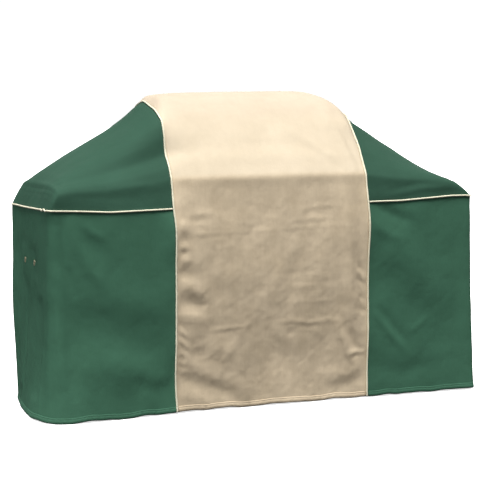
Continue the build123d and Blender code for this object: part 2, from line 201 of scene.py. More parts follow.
BEIGE_FRONT = [
    # packing creases
    (1.7, 0.0042, [(-0.218, 0.270), (-0.17, 0.276), (-0.123, 0.279), (-0.076, 0.281)]),
    (-0.8, 0.005, [(-0.186, 0.259), (-0.149, 0.265)]),
    (1.3, 0.009, [(-0.086, 0.274), (-0.12, 0.233), (-0.157, 0.195)]),
    (1.7, 0.0042, [(0.030, 0.283), (0.078, 0.288), (0.144, 0.278), (0.212, 0.284), (0.272, 0.274)]),
    (-0.7, 0.005, [(0.096, 0.268), (0.152, 0.264), (0.223, 0.264)]),
    (-2.5, 0.010, [(0.060, 0.252), (0.086, 0.245)]),
    (0.9, 0.003, [(-0.26, 0.598), (-0.09, 0.601), (0.0, 0.602), (0.11, 0.606), (0.262, 0.609)]),
    (1.4, 0.006, [(0.105, 0.668), (0.178, 0.676), (0.241, 0.676)]),
    (1.2, 0.005, [(0.08, 0.632), (0.17, 0.636), (0.23, 0.634)]),
    (-0.9, 0.006, [(0.03, 0.455), (0.12, 0.452), (0.22, 0.458)]),
    (0.9, 0.006, [(0.06, 0.40), (0.14, 0.405), (0.25, 0.40)]),
    (0.9, 0.005, [(0.06, 0.355), (0.15, 0.350), (0.24, 0.356)]),
    # dent and bumps under the left end of the fold
    (1.7, 0.009, [(-0.280, 0.660), (-0.239, 0.664), (-0.203, 0.666)]),
    (-1.5, 0.009, [(-0.278, 0.641), (-0.239, 0.644), (-0.205, 0.646)]),
    (2.4, 0.008, [(-0.322, 0.630), (-0.296, 0.633)]),
    (2.4, 0.008, [(-0.268, 0.604), (-0.230, 0.598)]),
    # puckers along the left seam: dark between each ridge and the valley below
    (3.4, 0.012, [(-0.322, 0.617), (-0.293, 0.619)]),
    (-3.0, 0.012, [(-0.322, 0.577), (-0.290, 0.581)]),
    (3.4, 0.009, [(-0.322, 0.556), (-0.300, 0.558)]),
    (-3.2, 0.009, [(-0.322, 0.534), (-0.298, 0.536)]),
    (3.4, 0.013, [(-0.322, 0.513), (-0.288, 0.506)]),
    (-3.4, 0.014, [(-0.320, 0.470), (-0.285, 0.463)]),
    (5.6, 0.017, [(-0.322, 0.434), (-0.280, 0.420), (-0.238, 0.392)]),
    (-5.6, 0.017, [(-0.322, 0.378), (-0.282, 0.366), (-0.235, 0.344)]),
    (3.4, 0.016, [(-0.322, 0.334), (-0.283, 0.322), (-0.252, 0.314)]),
    (-2.6, 0.005, [(-0.330, 0.308), (-0.303, 0.272)]),
    (2.0, 0.005, [(-0.330, 0.290), (-0.303, 0.256)]),
    (-2.6, 0.005, [(-0.330, 0.272), (-0.297, 0.234)]),
    (2.0, 0.005, [(-0.330, 0.254), (-0.300, 0.219)]),
    (-2.6, 0.005, [(-0.330, 0.237), (-0.301, 0.202)]),
    (-2.4, 0.005, [(-0.330, 0.192), (-0.305, 0.172)]),
    (-2.4, 0.005, [(-0.330, 0.160), (-0.308, 0.146)]),
    # long fold beside the right seam
    (8.5, 0.016, [(0.268, 0.72), (0.284, 0.640), (0.291, 0.519), (0.300, 0.380), (0.316, 0.250)]),
    (-6.0, 0.012, [(0.322, 0.700), (0.330, 0.639), (0.337, 0.552), (0.342, 0.440)]),
    (-3.4, 0.006, [(0.322, 0.475), (0.347, 0.434)]),
    (2.4, 0.006, [(0.320, 0.455), (0.345, 0.416)]),
    (-3.4, 0.006, [(0.322, 0.425), (0.346, 0.396)]),
    (-2.6, 0.005, [(0.328, 0.362), (0.350, 0.345)]),
    (-2.6, 0.005, [(0.330, 0.318), (0.350, 0.300)]),
    (5.5, 0.009, [(0.250, 0.270), (0.272, 0.208), (0.291, 0.158), (0.307, 0.128)]),
    (-5.5, 0.010, [(0.290, 0.245), (0.310, 0.192), (0.330, 0.158)]),
    (3.6, 0.006, [(0.296, 0.158), (0.321, 0.164), (0.347, 0.162)]),
    (-2.5, 0.007, [(0.300, 0.143), (0.325, 0.147)]),
    # lower edge
    (3.8, 0.020, [(-0.315, 0.162), (-0.245, 0.132), (-0.17, 0.100), (-0.095, 0.066)]),
    (-5.0, 0.020, [(-0.325, 0.118), (-0.262, 0.092), (-0.19, 0.060), (-0.12, 0.030)]),
    (3.6, 0.018, [(-0.320, 0.074), (-0.268, 0.040), (-0.225, 0.018)]),
    (4.0, 0.026, [(-0.214, 0.230), (-0.165, 0.195), (-0.175, 0.160)]),
    (-3.5, 0.020, [(-0.268, 0.215), (-0.250, 0.175)]),
    (3.6, 0.018, [(0.205, 0.092), (0.275, 0.088), (0.317, 0.102), (0.347, 0.118)]),
    (-4.0, 0.018, [(0.214, 0.034), (0.275, 0.046), (0.317, 0.060), (0.347, 0.074)]),
    (-3.0, 0.014, [(0.066, 0.490), (0.069, 0.408), (0.072, 0.345)]),
    (2.4, 0.014, [(0.030, 0.500), (0.034, 0.420), (0.040, 0.350)]),
    (3.4, 0.024, [(-0.10, 0.56), (-0.12, 0.45), (-0.09, 0.33)]),
    (-3.4, 0.028, [(-0.19, 0.55), (-0.21, 0.47), (-0.17, 0.36)]),
    (3.4, 0.028, [(0.17, 0.58), (0.18, 0.45), (0.16, 0.34)]),
    (-3.5, 0.034, [(-0.02, 0.20), (0.06, 0.16), (0.16, 0.12)]),
]
HOOD_FRONT = [
    (3.2, 0.010, [(0.262, 0.985), (0.290, 0.930), (0.306, 0.880), (0.318, 0.830), (0.330, 0.780)]),
    (-3.0, 0.009, [(0.290, 0.985), (0.312, 0.930), (0.328, 0.880), (0.340, 0.830), (0.348, 0.780)]),
    (1.6, 0.010, [(0.100, 0.940), (0.190, 0.880), (0.285, 0.812)]),
    (-1.2, 0.012, [(0.120, 0.905), (0.200, 0.850), (0.270, 0.805)]),
    (1.5, 0.010, [(-0.298, 0.960), (-0.285, 0.900), (-0.262, 0.850)]),
    (-1.5, 0.012, [(-0.268, 0.970), (-0.250, 0.900), (-0.225, 0.840)]),
    (1.2, 0.012, [(-0.205, 0.900), (-0.190, 0.850), (-0.200, 0.805)]),
    (-0.8, 0.010, [(-0.10, 0.90), (0.02, 0.885), (0.12, 0.892)]),
]
GREEN_LEFT = [
    (-5.0, 0.014, [(-0.724, 0.655), (-0.722, 0.58), (-0.716, 0.515), (-0.682, 0.425)]),
    (6.0, 0.016, [(-0.690, 0.650), (-0.664, 0.567), (-0.631, 0.494), (-0.588, 0.448)]),
    (3.0, 0.011, [(-0.650, 0.645), (-0.612, 0.612), (-0.58, 0.596)]),
    (-2.2, 0.020, [(-0.655, 0.612), (-0.600, 0.555), (-0.55, 0.52)]),
    (4.8, 0.045, [(-0.70, 0.47), (-0.60, 0.42), (-0.47, 0.375), (-0.36, 0.35)]),
    (-4.2, 0.045, [(-0.72, 0.35), (-0.60, 0.290), (-0.47, 0.245), (-0.38, 0.24)]),
    (5.0, 0.036, [(-0.66, 0.185), (-0.53, 0.165), (-0.40, 0.160)]),
    (1.8, 0.018, [(-0.480, 0.160), (-0.425, 0.122), (-0.36, 0.130)]),
    (-2.0, 0.020, [(-0.470, 0.110), (-0.410, 0.078), (-0.355, 0.085)]),
    (3.0, 0.009, [(-0.738, 0.420), (-0.738, 0.273), (-0.728, 0.120)]),
    (-2.4, 0.010, [(-0.712, 0.330), (-0.705, 0.200), (-0.690, 0.080)]),
]
GREEN_RIGHT = [
    (-3.6, 0.014, [(0.395, 0.672), (0.451, 0.640), (0.530, 0.606)]),
    (3.6, 0.016, [(0.378, 0.615), (0.431, 0.575), (0.495, 0.548)]),
    (5.0, 0.045, [(0.45, 0.56), (0.55, 0.45), (0.66, 0.34)]),
    (-5.5, 0.045, [(0.40, 0.46), (0.50, 0.34), (0.62, 0.22)]),
    (3.0, 0.010, [(0.386, 0.300), (0.441, 0.228), (0.498, 0.160)]),
    (-2.4, 0.011, [(0.408, 0.312), (0.465, 0.240), (0.520, 0.178)]),
    (1.8, 0.009, [(0.590, 0.268), (0.535, 0.224)]),
    (-3.0, 0.024, [(0.40, 0.10), (0.50, 0.08), (0.62, 0.10)]),
    (-2.4, 0.018, [(0.70, 0.60), (0.715, 0.42), (0.71, 0.22)]),
]
TOP_FRONT = [
    (2.2, 0.008, [(0.432, 0.700), (0.568, 0.722), (0.686, 0.728)]),
    (-1.6, 0.010, [(0.470, 0.722), (0.568, 0.744), (0.666, 0.750)]),
    (2.0, 0.010, [(-0.62, 0.770), (-0.50, 0.764), (-0.37, 0.758)]),
    (-1.6, 0.012, [(-0.70, 0.735), (-0.56, 0.726), (-0.42, 0.720)]),
    (1.0, 0.016, [(-0.40, 0.93), (-0.46, 0.86), (-0.54, 0.80)]),
    (-1.0, 0.016, [(0.40, 0.92), (0.47, 0.85), (0.56, 0.79)]),
]
REAR = [
    (7.0, 0.020, [(-0.24, 0.66), (-0.25, 0.42), (-0.23, 0.20)]),
    (-7.0, 0.018, [(-0.295, 0.63), (-0.30, 0.42), (-0.29, 0.20)]),
    (6.0, 0.030, [(0.02, 0.60), (0.05, 0.36), (0.02, 0.12)]),
    (-6.0, 0.028, [(0.13, 0.62), (0.15, 0.38), (0.12, 0.10)]),
    (3.0, 0.005, [(-0.20, 0.292), (-0.05, 0.286), (0.07, 0.291), (0.24, 0.286)]),
    (-2.5, 0.006, [(-0.18, 0.276), (0.0, 0.272), (0.2, 0.272)]),
    (7.0, 0.034, [(-0.68, 0.58), (-0.56, 0.42), (-0.42, 0.30)]),
    (-7.0, 0.034, [(-0.70, 0.46), (-0.58, 0.30), (-0.44, 0.18)]),
    (6.0, 0.030, [(0.68, 0.60), (0.60, 0.44), (0.46, 0.28)]),
    (-6.5, 0.030, [(0.70, 0.44), (0.60, 0.30), (0.48, 0.16)]),
    (4.0, 0.012, [(0.40, 0.62), (0.44, 0.50), (0.52, 0.42)]),
    (-4.0, 0.012, [(-0.40, 0.60), (-0.45, 0.50), (-0.53, 0.43)]),
]


def ripples(seed, count, low, high, stretch=(1, 1, 1)):
    """Seeded smooth noise in space, as a function of points."""
    rng = np.random.default_rng(seed)
    d = rng.normal(size=(count, 3))
    d /= np.linalg.norm(d, axis=1, keepdims=True)
    wave = low * (high / low) ** rng.random(count)
    k = 2 * np.pi * d / wave[:, None] * np.asarray(stretch)
    phase = rng.random(count) * 2 * np.pi
    weight = (wave / high) ** 0.8
    weight /= np.sqrt((weight ** 2).sum() / 2)

    def field(p):
        out = np.zeros(p.shape[:-1])
        for i in range(count):
            out += weight[i] * np.cos(p @ k[i] + phase[i])
        return out

    return field


BROAD = ripples(11, 34, 0.13, 0.42, (1, 1, 0.45))
MID = ripples(23, 44, 0.05, 0.14, (1, 1, 0.7))
FINE = ripples(37, 60, 0.018, 0.05)
CREASE = ripples(51, 30, 0.10, 0.30)
STREAK = ripples(67, 40, 0.022, 0.060, (1, 1, 0.22))


def outward(p):
    """Smooth outward direction of the whole cover at points near its surface."""
    x, y, z = p[..., 0], p[..., 1], p[..., 2]
    # upright part: direction of a rounded rectangle in plan
    px = np.sign(x) * np.clip(np.abs(x) - (END_X - 0.10), 0, None)
    py = np.sign(y) * np.clip(np.abs(y) - (-FRONT_Y - 0.10), 0, None)
    low = np.stack([px, py, np.zeros_like(x)], -1)
    low /= np.linalg.norm(low, axis=-1, keepdims=True) + 1e-6
    # over the shelves and the hood
    top = np.stack([np.sign(x) * np.clip(np.abs(x) - 0.66, 0, None) * 1.5, y - 0.03, np.clip(z - 0.62, 0.02, None)], -1)
    top /= np.linalg.norm(top, axis=-1, keepdims=True) + 1e-6
    w = smooth(0.665, 0.76, z)[..., None]
    n = (1 - w) * low + w * top
    return n / (np.linalg.norm(n, axis=-1, keepdims=True) + 1e-6)


def keep_clear(p):
    """1 everywhere except near the eyelets and straps on the ends, where it is 0."""
    x, y, z = np.abs(p[..., 0]), p[..., 1], p[..., 2]
    end = smooth(0.735, 0.755, x)
    rows = 1 - smooth(0.030, 0.055, np.abs(np.abs(y) - 0.12))
    strap = rows * smooth(0.05, 0.085, z) * (1 - smooth(0.375, 0.42, z))
    vent = (1 - smooth(0.090, 0.125, np.abs(y - 0.013))) * smooth(0.44, 0.475, z) * (1 - smooth(0.54, 0.575, z))
    return 1 - end * np.maximum(strap, vent)


def drape(p):
    """Every piece passes through this, so that seams, piping and hems stay together."""
    x, y, z = p[..., 0], p[..., 1], p[..., 2]
    xl = seam(-1, seam_index_at(-1, np.clip(z, 0, 0.68)).ravel())[:, 0].reshape(x.shape)
    xr = seam(1, seam_index_at(1, np.clip(z, 0, 0.68)).ravel())[:, 0].reshape(x.shape)
    front = 1 - smooth(-0.215, -0.175, y)
    rear = smooth(0.15, 0.21, y)
    low = 1 - smooth(0.66, 0.70, z)
    beige = smooth(0.002, 0.016, x - xl) * smooth(0.002, 0.016, xr - x)
    left = smooth(0.002, 0.03, xl - x)
    right = smooth(0.002, 0.03, x - xr)
    f = np.zeros_like(x)
    f += 0.80 * front * beige * stroke_field(BEIGE_FRONT, x, z)
    f += (1 - smooth(-0.02, 0.06, y)) * smooth(0.78, 0.80, z) * beige * stroke_field(HOOD_FRONT, x, z) / 0.55
    f += front * left * stroke_field(GREEN_LEFT, x, z)
    f += front * right * stroke_field(GREEN_RIGHT, x, z)
    f += (1 - smooth(-0.10, 0.0, y)) * np.clip(left + right, 0, 1) * stroke_field(TOP_FRONT, x, z)
    f += rear * stroke_field(REAR, x, z) * (1 - 0.8 * smooth(0.02, 0.0, np.abs(np.abs(x) - 0.353)))
    # general unevenness, a little stronger towards the hem and on the rear
    f += (1.0 + 1.3 * low * (1 - z)) * BROAD(p)
    f += 0.30 * MID(p)
    f += 0.10 * FINE(p)
    # the tan front was folded small: shallow upright streaks and close crumpling
    worn = front * beige * low
    f += worn * (0.22 * STREAK(p) + 0.17 * FINE(p * 1.13 + 0.3) + 0.30 * MID(p * 1.21 + 0.2))
    c = CREASE(p)
    f += 0.6 * (np.sqrt(c * c + 0.02) - 0.75)
    # the crown and the sloping front of the hood are pulled smooth
    taut = smooth(0.74, 0.80, z)
    f *= 1 - 0.45 * taut
    f *= keep_clear(p)
    f = np.clip(f, -16, 13)
    out = p + outward(p) * (f / 1000)[..., None]
    # the lower edge lifts and dips a little
    out[..., 2] += hem_height(x, y) * np.clip(1 - z / 0.25, 0, 1)
    return out


# ----------------------------------------------------------------- panel shapes
def centre_grid(step=0.0068):
    t = even(0, I_LAST, step)
    nu = int(round((SEAM_X[1] - SEAM_X[-1]) / step)) + 1
    L, R = seam(-1, t), seam(1, t)
    M = run(MIDDLE, t) / 1000
    u = np.linspace(0, 1, nu)[None, :]
    width = SEAM_X[1] - SEAM_X[-1]
    dl, dr = u * width, (1 - u) * width
    wl = 1 - np.exp(-((dl / 0.044) ** 0.88))
    # on the right a soft fold runs in from the seam over the front of the hood
    fold = np.interp(t, [0, 12.5, 14, 15, 16, 17, 18.5, 20, 22, 27], [0.05, 0.012, 0.030, 0.047, 0.073, 0.102, 0.122, 0.124, 0.090, 0.05])[:, None]
    q = dr / fold
    wr = np.where(q < 1, 0.90 * q, 0.90 + 0.10 * (1 - np.exp(-(q - 1) * 1.3)))
    soft = 0.98 * q / (1 + q ** 13) ** (1 / 13) + 0.02 * (1 - np.exp(-np.clip(q - 1, 0, None) * 1.3))
    upper = smooth(11.5, 13.5, t)[:, None]
    ql = dl / 0.026
    crown = 0.68 * ql / (1 + ql ** 5) ** 0.2 + 0.32 * (1 - np.exp(-dl / 0.13))
    wl = upper * crown + (1 - upper) * wl
    wr = upper * soft + (1 - upper) * (1 - np.exp(-((dr / 0.05) ** 0.9)))
    a, c = 1 - wl, 1 - wr
    s = np.maximum(a + c, 1)
    a, c = a / s, c / s
    b = 1 - a - c
    y = a * L[:, 1:2] + b * M[:, 0:1] + c * R[:, 1:2]
    z = a * L[:, 2:3] + b * M[:, 1:2] + c * R[:, 2:3]
    x = SEAM_X[-1] + u * width + (1 - u) ** 3 * (L[:, 0:1] - SEAM_X[-1]) + u ** 3 * (R[:, 0:1] - SEAM_X[1])
    return np.stack([x, y, z], -1), t


def shoulder_height(x, y, side):
    z = table_at(SHOULDER_FRONT, x)
    w = smooth(-0.2, 0.1, y)
    z = (1 - w) * z + w * 0.688
    return z


def round_corner(x, y, side, rf, rr):
    """Square corner to round corner, in plan, at the outer end of one side."""
    ax = np.abs(x)
    for r, sign in ((rf, -1), (rr, 1)):
        r = np.broadcast_to(r, x.shape)
        p = np.clip((ax - (END_X - r)) / r, 0, 1)
        q = np.clip((sign * y - (-FRONT_Y - r)) / r, 0, 1)
        inside = (p > 0) & (q > 0)
        p2 = p * np.sqrt(1 - q * q / 2)
        q2 = q * np.sqrt(1 - p * p / 2)
        nx = END_X - r + p2 * r
        ny = sign * (-FRONT_Y - r + q2 * r)
        # points past the line keep their distance
        ax = np.where(inside, nx, ax)
        y = np.where(inside, ny, y)
    return side * ax, y


def top_grid(side, step=0.0068):
    t = even(I_SHOULDER, I_REAR, step)
    S = seam(side, t)
    H = run(SHELF, t - I_SHOULDER) / 1000
    # heights at the two shoulder ends are the seam's own
    x0 = SEAM_X[side]
    length = END_X - abs(x0)
    nu = int(round(length / step)) + 1
    u = np.linspace(0, 1, nu)
    u = u + 0.02 * np.sin(2 * np.pi * u) / (2 * np.pi)
    # closer rows where the panel turns down at the end
    u = np.sort(np.concatenate([u, np.linspace(0.925, 0.995, 12)]))
    xs = x0 + side * u * length
    T = table_at(TENT[side], xs)
    T = np.convolve(np.pad(T, 3, mode="edge"), np.ones(7) / 7, mode="valid")
    T[0] = 0
    T = T[None, :]
    drop = table_at(END_DROP[side], xs)[None, :]
    y = (1 - T) * S[:, 1:2] + T * H[:, 0:1]
    z = (1 - T) * S[:, 2:3] + T * H[:, 1:2]
    base = shoulder_height(np.broadcast_to(xs[None, :], y.shape), y, side)
    z0 = 0.685
    z = base + (z - z0) * drop
    # first and last rows lie on the piping line exactly
    z[0] = base[0]
    z[-1] = base[-1]
    x = np.broadcast_to(xs[None, :], y.shape).copy()
    x += (S[:, 0:1] - x0) * (1 - u[None, :]) ** 4
    x, y = round_corner(x, y, side, 0.022 if side < 0 else 0.014, 0.014 if side < 0 else 0.022)
    x, y = ease(x, y, side)
    p = np.stack([x, y, z], -1)
    # the seam edge is the seam itself
    p[:, 0] = S
    return p, t


def ease(x, y, side, more=0.0):
    """The two corners that stand out a little beyond the frame: left rear, right front."""
    if side < 0:
        w = np.exp(-(np.clip(0.254 - y, 0, None) / 0.06) ** 2) * smooth(0.70, 0.76, np.abs(x))
        return x - (0.004 + more) * w, y + 0.002 * w
    w = np.exp(-(np.clip(y + 0.254, 0, None) / 0.06) ** 2) * smooth(0.70, 0.76, np.abs(x))
    return x + 0.0065 * w, y - 0.002 * w


def skirt_line(side, z, n_front, n_end, n_rear):
    """Plan points of the skirt at height z (one row)."""
    s = float(np.clip(z / 0.69, 0, 1))
    if side < 0:
        rf = np.interp(s, [0, 0.35, 0.7, 0.93, 1], [0.055, 0.052, 0.046, 0.034, 0.022])
        rr = np.interp(s, [0, 0.2, 1], [0.030, 0.014, 0.012])
    else:
        rf = np.interp(s, [0, 1], [0.010, 0.012])
        rr = np.interp(s, [0, 0.5, 1], [0.060, 0.045, 0.022])
    f = seam(side, seam_index_at(side, z))[0]
    r = seam(side, seam_index_at(side, z, rear=True))[0]
    D = -FRONT_Y
    xf, xr = abs(f[0]), abs(r[0])
    lf = END_X - rf - xf
    af = np.pi / 2 * rf
    le = 2 * D - rf - rr
    ar = np.pi / 2 * rr
    lr = END_X - rr - xr
    total = lf + af + le + ar + lr
    s = np.linspace(0, 1, n_front + n_end + n_rear) * total
    x, y = np.empty_like(s), np.empty_like(s)
    a = s < lf
    x[a], y[a] = xf + s[a], -D
    b = (s >= lf) & (s < lf + af)
    ang = (s[b] - lf) / rf
    x[b], y[b] = END_X - rf + rf * np.sin(ang), -D + rf - rf * np.cos(ang)
    c = (s >= lf + af) & (s < lf + af + le)
    x[c], y[c] = END_X, -D + rf + (s[c] - lf - af)
    d = (s >= lf + af + le) & (s < lf + af + le + ar)
    ang = (s[d] - lf - af - le) / rr
    x[d], y[d] = END_X - rr + rr * np.cos(ang), D - rr + rr * np.sin(ang)
    e = s >= lf + af + le + ar
    x[e], y[e] = END_X - rr - (s[e] - lf - af - le - ar), D
    # towards the hem the outline eases into the shape it stands in
    k = max(0.0, 1 - z / 0.36) ** 1.5
    if k > 0:
        plan = np.array(HEM_PLAN[side])
        q = np.linspace(0, len(plan) - 1, 1200)
        curve = run(plan, q)
        cs = np.concatenate([[0], np.cumsum(np.linalg.norm(np.diff(curve, axis=0), axis=1))])
        hx = np.interp(s / total * cs[-1], cs, curve[:, 0])
        hy = np.interp(s / total * cs[-1], cs, curve[:, 1])
        x, y = x + k * (hx - x), y + k * (hy - y)
    # run into the seams
    wf = (1 - smooth(0, 0.085, s))
    y += wf * (f[1] - y[0])
    wr = (1 - smooth(0, 0.085, total - s))
    y += wr * (r[1] - y[-1])
    x, y = ease(side * x, y, side, 0.0045 * float(smooth(0.55, 0.35, z) * smooth(-0.10, 0.16, z)))
    return np.stack([x, y, np.full_like(s, z)], 1), s


def hem_height(x, y):
    """Lower edge, with the small lifts and dips of hanging cloth."""
    p = np.stack([x, y, np.zeros_like(x)], -1)
    return 0.0049 + 0.0022 * np.clip(MID(p) * 0.6 + BROAD(p) * 0.8, -1.2, 2.2) - 0.0010 * smooth(-0.30, -0.45, x)


def skirt_grid(side, step=0.0068):
    n = int(round(1.32 / step))
    nf, ne, nr = n // 3, n // 3, n - 2 * (n // 3)
    rows = int(round(0.686 / step)) + 1
    top, s = skirt_line(side, 0.686, nf, ne, nr)
    zt = shoulder_height(top[:, 0], top[:, 1], side)
    # the shoulder line wavers round the corner of the left end
    if side < 0:
        e = (top[:, 1] + 0.254)
        wob = np.exp(-((e - 0.055) / 0.03) ** 2) * (np.abs(top[:, 0]) > 0.72)
        zt = zt + 0.0035 * np.sin(e * 150) * wob
    v = np.linspace(0, 1, rows)
    grid = np.empty((rows, n, 3))
    for i, k in enumerate(v):
        line, _ = skirt_line(side, 0.686 * k, nf, ne, nr)
        grid[i] = line
        grid[i, :, 2] = k
    grid[:, :, 2] = zt[None, :] * v[:, None]
    # both upright edges are the seams themselves
    for j, rear in ((0, False), (n - 1, True)):
        t = seam_index_at(side, grid[:, j, 2], rear=rear)
        grid[:, j] = seam(side, t)
    return grid
# ---------------------------------------------------------------- geometry end


# ------------------------------------------------------------------ mesh tools
CLOTH_T = 0.0012


def grid_normals(p):
    du = np.gradient(p, axis=1)
    dv = np.gradient(p, axis=0)
    n = np.cross(du, dv)
    n /= np.linalg.norm(n, axis=-1, keepdims=True) + 1e-12
    centre = np.array([0, 0.0, 0.5])
    mid = p.reshape(-1, 3) - centre
    if (n.reshape(-1, 3) * mid).sum() < 0:
        n = -n
    return n


def mesh_object(name, verts, faces, uvs=None, mats=(), mat_index=None, smooth_shade=True):
    me = bpy.data.meshes.new(name)
    me.from_pydata([tuple(v) for v in verts], [], [tuple(int(i) for i in f) for f in faces])
    if uvs is not None:
        layer = me.uv_layers.new(name="UVMap")
        loops = np.empty(len(me.loops), np.int64)
        me.loops.foreach_get("vertex_index", loops)
        layer.data.foreach_set("uv", np.asarray(uvs, np.float32)[loops].ravel())
    for m in mats:
        me.materials.append(m)
    if mat_index is not None:
        me.polygons.foreach_set("material_index", np.asarray(mat_index, np.int32))
    me.polygons.foreach_set("use_smooth", np.full(len(me.polygons), smooth_shade))
    me.update()
    ob = bpy.data.objects.new(name, me)
    bpy.context.scene.collection.objects.link(ob)
    return ob


def arc_uv(p):
    """Distances along a grid, in metres, as texture coordinates."""
    du = np.linalg.norm(np.diff(p, axis=1), axis=-1).mean(0)
    dv = np.linalg.norm(np.diff(p, axis=0), axis=-1).mean(1)
    u = np.concatenate([[0], np.cumsum(du)])
    v = np.concatenate([[0], np.cumsum(dv)])
    return np.stack(np.meshgrid(u, v), -1)


def cloth_object(name, p, mats, thickness=CLOTH_T, drop=None, holes=()):
    """A grid of points as a thin closed sheet: finished face outside, coated face inside."""
    rows, cols = p.shape[:2]
    n = grid_normals(p)
    inner = p - n * thickness
    # keep the two layers in line along the edges
    verts = np.concatenate([p.reshape(-1, 3), inner.reshape(-1, 3)])
    idx = np.arange(rows * cols).reshape(rows, cols)
    quad = np.stack([idx[:-1, :-1], idx[:-1, 1:], idx[1:, 1:], idx[1:, :-1]], -1).reshape(-1, 4)
    if holes:
        mid = p.reshape(-1, 3)[quad].mean(1)
        keep = np.ones(len(quad), bool)
        for c, r in holes:
            keep &= np.linalg.norm(mid - c, axis=1) > r
        quad = quad[keep]
    a, b, c = (p.reshape(-1, 3)[quad[:, i]] for i in (0, 1, 2))
    if (np.cross(b - a, c - a) * n.reshape(-1, 3)[quad[:, 0]]).sum() < 0:
        quad = quad[:, ::-1]
    off = rows * cols
    inside = quad[:, ::-1] + off
    # edges used once make the rim
    e = np.concatenate([quad[:, [0, 1]], quad[:, [1, 2]], quad[:, [2, 3]], quad[:, [3, 0]]])
    key = np.sort(e, 1)
    _, first, count = np.unique(key[:, 0].astype(np.int64) * (off + 1) + key[:, 1], return_index=True, return_counts=True)
    rim = e[first[count == 1]]
    rimq = np.stack([rim[:, 1], rim[:, 0], rim[:, 0] + off, rim[:, 1] + off], 1)
    faces = np.concatenate([quad, inside, rimq])
    mi = np.concatenate([np.zeros(len(quad)), np.ones(len(inside)), np.zeros(len(rimq))]).astype(int)
    uv = arc_uv(p).reshape(-1, 2)
    ob = mesh_object(name, verts, faces, np.concatenate([uv, uv]), mats, mi)
    me = ob.data
    # drop points no face uses
    used = np.zeros(len(verts), bool)
    used[np.unique(faces)] = True
    if not used.all():
        import bmesh
        bm = bmesh.new()
        bm.from_mesh(me)
        loose = [v for v in bm.verts if not v.link_faces]
        bmesh.ops.delete(bm, geom=loose, context="VERTS")
        bm.to_mesh(me)
        bm.free()
    return ob


def resample(line, step):
    s = np.concatenate([[0], np.cumsum(np.linalg.norm(np.diff(line, axis=0), axis=1))])
    n = max(3, int(round(s[-1] / step)) + 1)
    q = np.linspace(0, s[-1], n)
    return np.stack([np.interp(q, s, line[:, k]) for k in range(3)], 1)


def frames(line, up):
    """Tangent, outward and side directions along a line, given outward hints."""
    t = np.gradient(line, axis=0)
    t /= np.linalg.norm(t, axis=1, keepdims=True) + 1e-12
    o = up - (up * t).sum(1, keepdims=True) * t
    o /= np.linalg.norm(o, axis=1, keepdims=True) + 1e-12
    return t, o, np.cross(t, o)


def tube(line, hints, radius, sides=12, bore=None, squash=None):
    """Vertices and faces of a tube, hollow if bore is given, with closed ends."""
    _, o, s = frames(line, hints)
    a = np.arange(sides) / sides * 2 * np.pi
    r = np.broadcast_to(radius, (len(line),))
    ring = line[:, None] + r[:, None, None] * (np.cos(a)[None, :, None] * o[:, None] + np.sin(a)[None, :, None] * s[:, None])
    n = len(line)
    idx = np.arange(n * sides).reshape(n, sides)
    nxt = np.roll(idx, -1, 1)
    quad = np.stack([idx[:-1], nxt[:-1], nxt[1:], idx[1:]], -1).reshape(-1, 4)
    verts = [ring.reshape(-1, 3)]
    faces = [quad]
    if bore:
        inner = line[:, None] + bore * (np.cos(a)[None, :, None] * o[:, None] + np.sin(a)[None, :, None] * s[:, None])
        off = n * sides
        verts.append(inner.reshape(-1, 3))
        faces.append(quad[:, ::-1] + off)
        faces.append(np.stack([nxt[0], idx[0], idx[0] + off, nxt[0] + off], 1))
        faces.append(np.stack([idx[-1], nxt[-1], nxt[-1] + off, idx[-1] + off], 1))
        return np.concatenate(verts), [tuple(f) for g in faces for f in g]
    out = [tuple(f) for f in quad] + [tuple(idx[0][::-1]), tuple(idx[-1])]
    return np.concatenate(verts), out


def join_parts(parts):
    verts, faces, k = [], [], 0
    for v, f in parts:
        verts.append(v)
        faces += [tuple(i + k for i in face) for face in f]
        k += len(v)
    return np.concatenate(verts), faces


def slab_strip(line, across, normal, width_in, thick):
    """A flat strip beside a line: from the line to width_in along across."""
    a = line + normal * thick / 2
    b = line - normal * thick / 2
    c = line + across * width_in + normal * thick / 2
    d = line + across * width_in - normal * thick / 2
    n = len(line)
    v = np.concatenate([a, c, d, b])
    faces = []
    for i in range(n - 1):
        for j, k in ((0, 1), (1, 2), (2, 3), (3, 0)):
            faces.append((j * n + i, k * n + i, k * n + i + 1, j * n + i + 1))
    faces.append((0, 3 * n, 2 * n, n))
    faces.append((n - 1, 2 * n - 1, 3 * n - 1, 4 * n - 1))
    return v, faces


